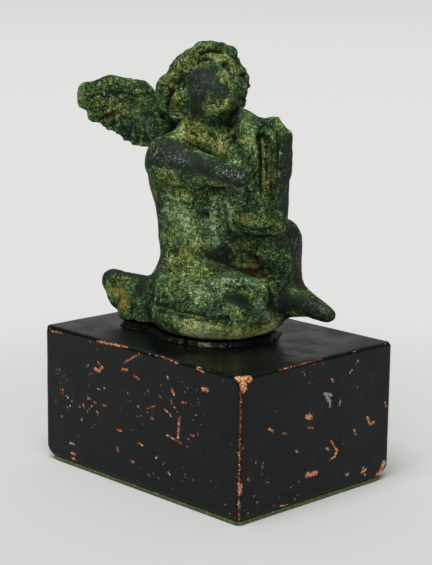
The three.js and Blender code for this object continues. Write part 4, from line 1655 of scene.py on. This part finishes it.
    def wear(self, points: np.ndarray) -> np.ndarray:
        """Measure how near each point lies to a worn edge. The edges at the foot aren't worn.

        Args:
            points: The points in metres.

        Returns:
            Wear of each point, from 0 to 1.
        """
        low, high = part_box(self.node)
        gaps = np.minimum(points - np.array(low), np.array(high) - points)
        second_gap = np.sort(gaps, axis=1)[:, 1] / MM
        above = np.clip((points[:, 2] / MM - self.unworn_foot) / self.foot_fade, 0, 1)
        return np.clip(self.edge_wear - second_gap, 0, 1) * above

    def build(self, material: bpy.types.Material) -> None:
        """Model and place the block.

        Args:
            material: Its finish.
        """
        finish_piece(self.model(), material, self.node)


@dataclass
class FeltPad:
    """The felt under the block. Sizes are in millimetres."""

    node: str = "felt_pad"
    clay: float = 0.6
    near_corner: float = 2.0
    other_corners: float = 7.0
    fuzz: float = 0.15
    # Waves of the fuzz in radians for each metre along X and Y
    fuzz_waves: tuple[float, float] = (2300.0, 2700.0)

    def build(self, material: bpy.types.Material) -> None:
        """Model and place the felt.

        Args:
            material: Its finish.
        """
        piece = copy_of_node(self.node, "green_felt")
        apply_modifier(piece, "REMESH", mode="VOXEL", voxel_size=self.clay * MM)
        surface = Surface(piece)
        low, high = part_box(self.node)
        flat = surface.points[:, :2]
        near = (flat[:, 0] > 0) & (flat[:, 1] < 0)
        size = np.where(near, self.near_corner, self.other_corners)[:, None] * MM
        past = np.abs(flat) - (np.array((high.x, high.y)) - size)
        reach = np.linalg.norm(past, axis=1, keepdims=True)
        over = np.all(past > 0, axis=1, keepdims=True) & (reach > size)
        pulled = past * (size / np.maximum(reach, 1e-9) - 1) * np.sign(flat)
        surface.move[:, :2] += np.where(over, pulled, 0)
        along, across = self.fuzz_waves
        fuzz = np.sin(flat[:, 0] * along) * np.sin(flat[:, 1] * across + 1)
        sideways = np.clip(1 - np.abs(surface.normals[:, 2]), 0, 1)
        surface.carve_by(fuzz * sideways * self.fuzz * MM)
        surface.move[:, 2] = np.maximum(surface.move[:, 2], low.z - surface.points[:, 2])
        surface.write()
        finish_piece(piece, material, self.node)


@dataclass
class Studio:
    """Pale floor, a broad lamp above, a low one in front, and a sky dimmed at the sides, in metres."""

    floor_half: float = 40.0
    lamp_from: Direction = (0.15, -0.35, 1.0)
    lamp_power: float = 2.0
    lamp_width: float = 40.0
    fill_from: Direction = (0.7, -0.7, 0.06)
    fill_power: float = 0.5
    fill_width: float = 60.0
    sky: float = 0.38
    side_sky: float = 0.1
    # Distance from the object and the floor's lightness there, with painted shade darker round the object and
    # far off
    tones: tuple[tuple[float, float], ...] = ((0.12, 0.75), (0.3, 0.85), (1.2, 0.84), (6.0, 0.77))

    def grey(self, tone: float) -> Colour:
        """Give a slightly warm grey of a linear lightness."""
        return tone, tone, tone * 0.99, 1.0

    def floor(self) -> None:
        """Add the pale floor, with painted shade: a little darker round the object and far off."""
        deselect()
        bpy.ops.mesh.primitive_plane_add(size=2 * self.floor_half)
        floor = bpy.context.object
        floor.name = "pale_floor"
        material, tree, shader = new_material("pale_paper")
        place = tree.place()
        reach = tree.node("VectorMath", {0: place}, operation="LENGTH").outputs["Value"]
        colour: object = self.grey(self.tones[0][1])
        for (start, _), (end, tone) in zip(self.tones, self.tones[1:]):
            colour = tree.mix(tree.ramp(reach, start, end), colour, self.grey(tone))
        tree.feed(shader.inputs["Base Color"], colour)
        shader.inputs["Roughness"].default_value = 0.9
        shader.inputs["Specular IOR Level"].default_value = 0.2
        floor.data.materials.append(material)

    def lamp(self, name: str, place: Direction, power: float, width: float) -> None:
        """Add a broad lamp far away that shines on the object.

        Args:
            name: The lamp's name.
            place: The direction that it shines from.
            power: Its power.
            width: How wide it looks, in degrees.
        """
        bpy.ops.object.light_add(type="SUN", location=place)
        light = bpy.context.object
        light.name = name
        light.data.energy = power
        light.data.angle = math.radians(width)
        light.rotation_euler = (-Vector(place)).to_track_quat("-Z", "Y").to_euler()

    def build(self) -> None:
        """Set up floor, lamps and sky."""
        self.floor()
        self.lamp("key_light", self.lamp_from, self.lamp_power, self.lamp_width)
        self.lamp("low_fill", self.fill_from, self.fill_power, self.fill_width)
        world = bpy.context.scene.world or bpy.data.worlds.new("sky")
        bpy.context.scene.world = world
        world.use_nodes = True
        background = world.node_tree.nodes["Background"]
        background.inputs["Color"].default_value = (1.0, 1.0, 0.99, 1.0)
        tree = Tree(world.node_tree)
        right, _, _ = VIEW.axes()
        towards = tree.node("TexCoord").outputs["Generated"]
        aside = tree.node("VectorMath", {0: towards, 1: right}, operation="DOT_PRODUCT").outputs["Value"]
        dimmed = tree.ramp(tree.math("ABSOLUTE", aside), 0.35, 0.9, self.sky, self.side_sky)
        tree.feed(background.inputs["Strength"], dimmed)
        bpy.context.scene.view_settings.view_transform = "Standard"


def main() -> None:
    """Build the looks in order."""
    logging.basicConfig(level=logging.INFO, format="%(message)s")
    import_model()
    VIEW.place_camera()
    Studio().build()
    mottle = mottle_group()
    Bronze().build(Patina().build(mottle))
    Adhesive().build(Amber().build(mottle))
    WoodBlock().build(BlackPaint().build(mottle))
    FeltPad().build(Felt().build())


if __name__ == "__main__":
    main()
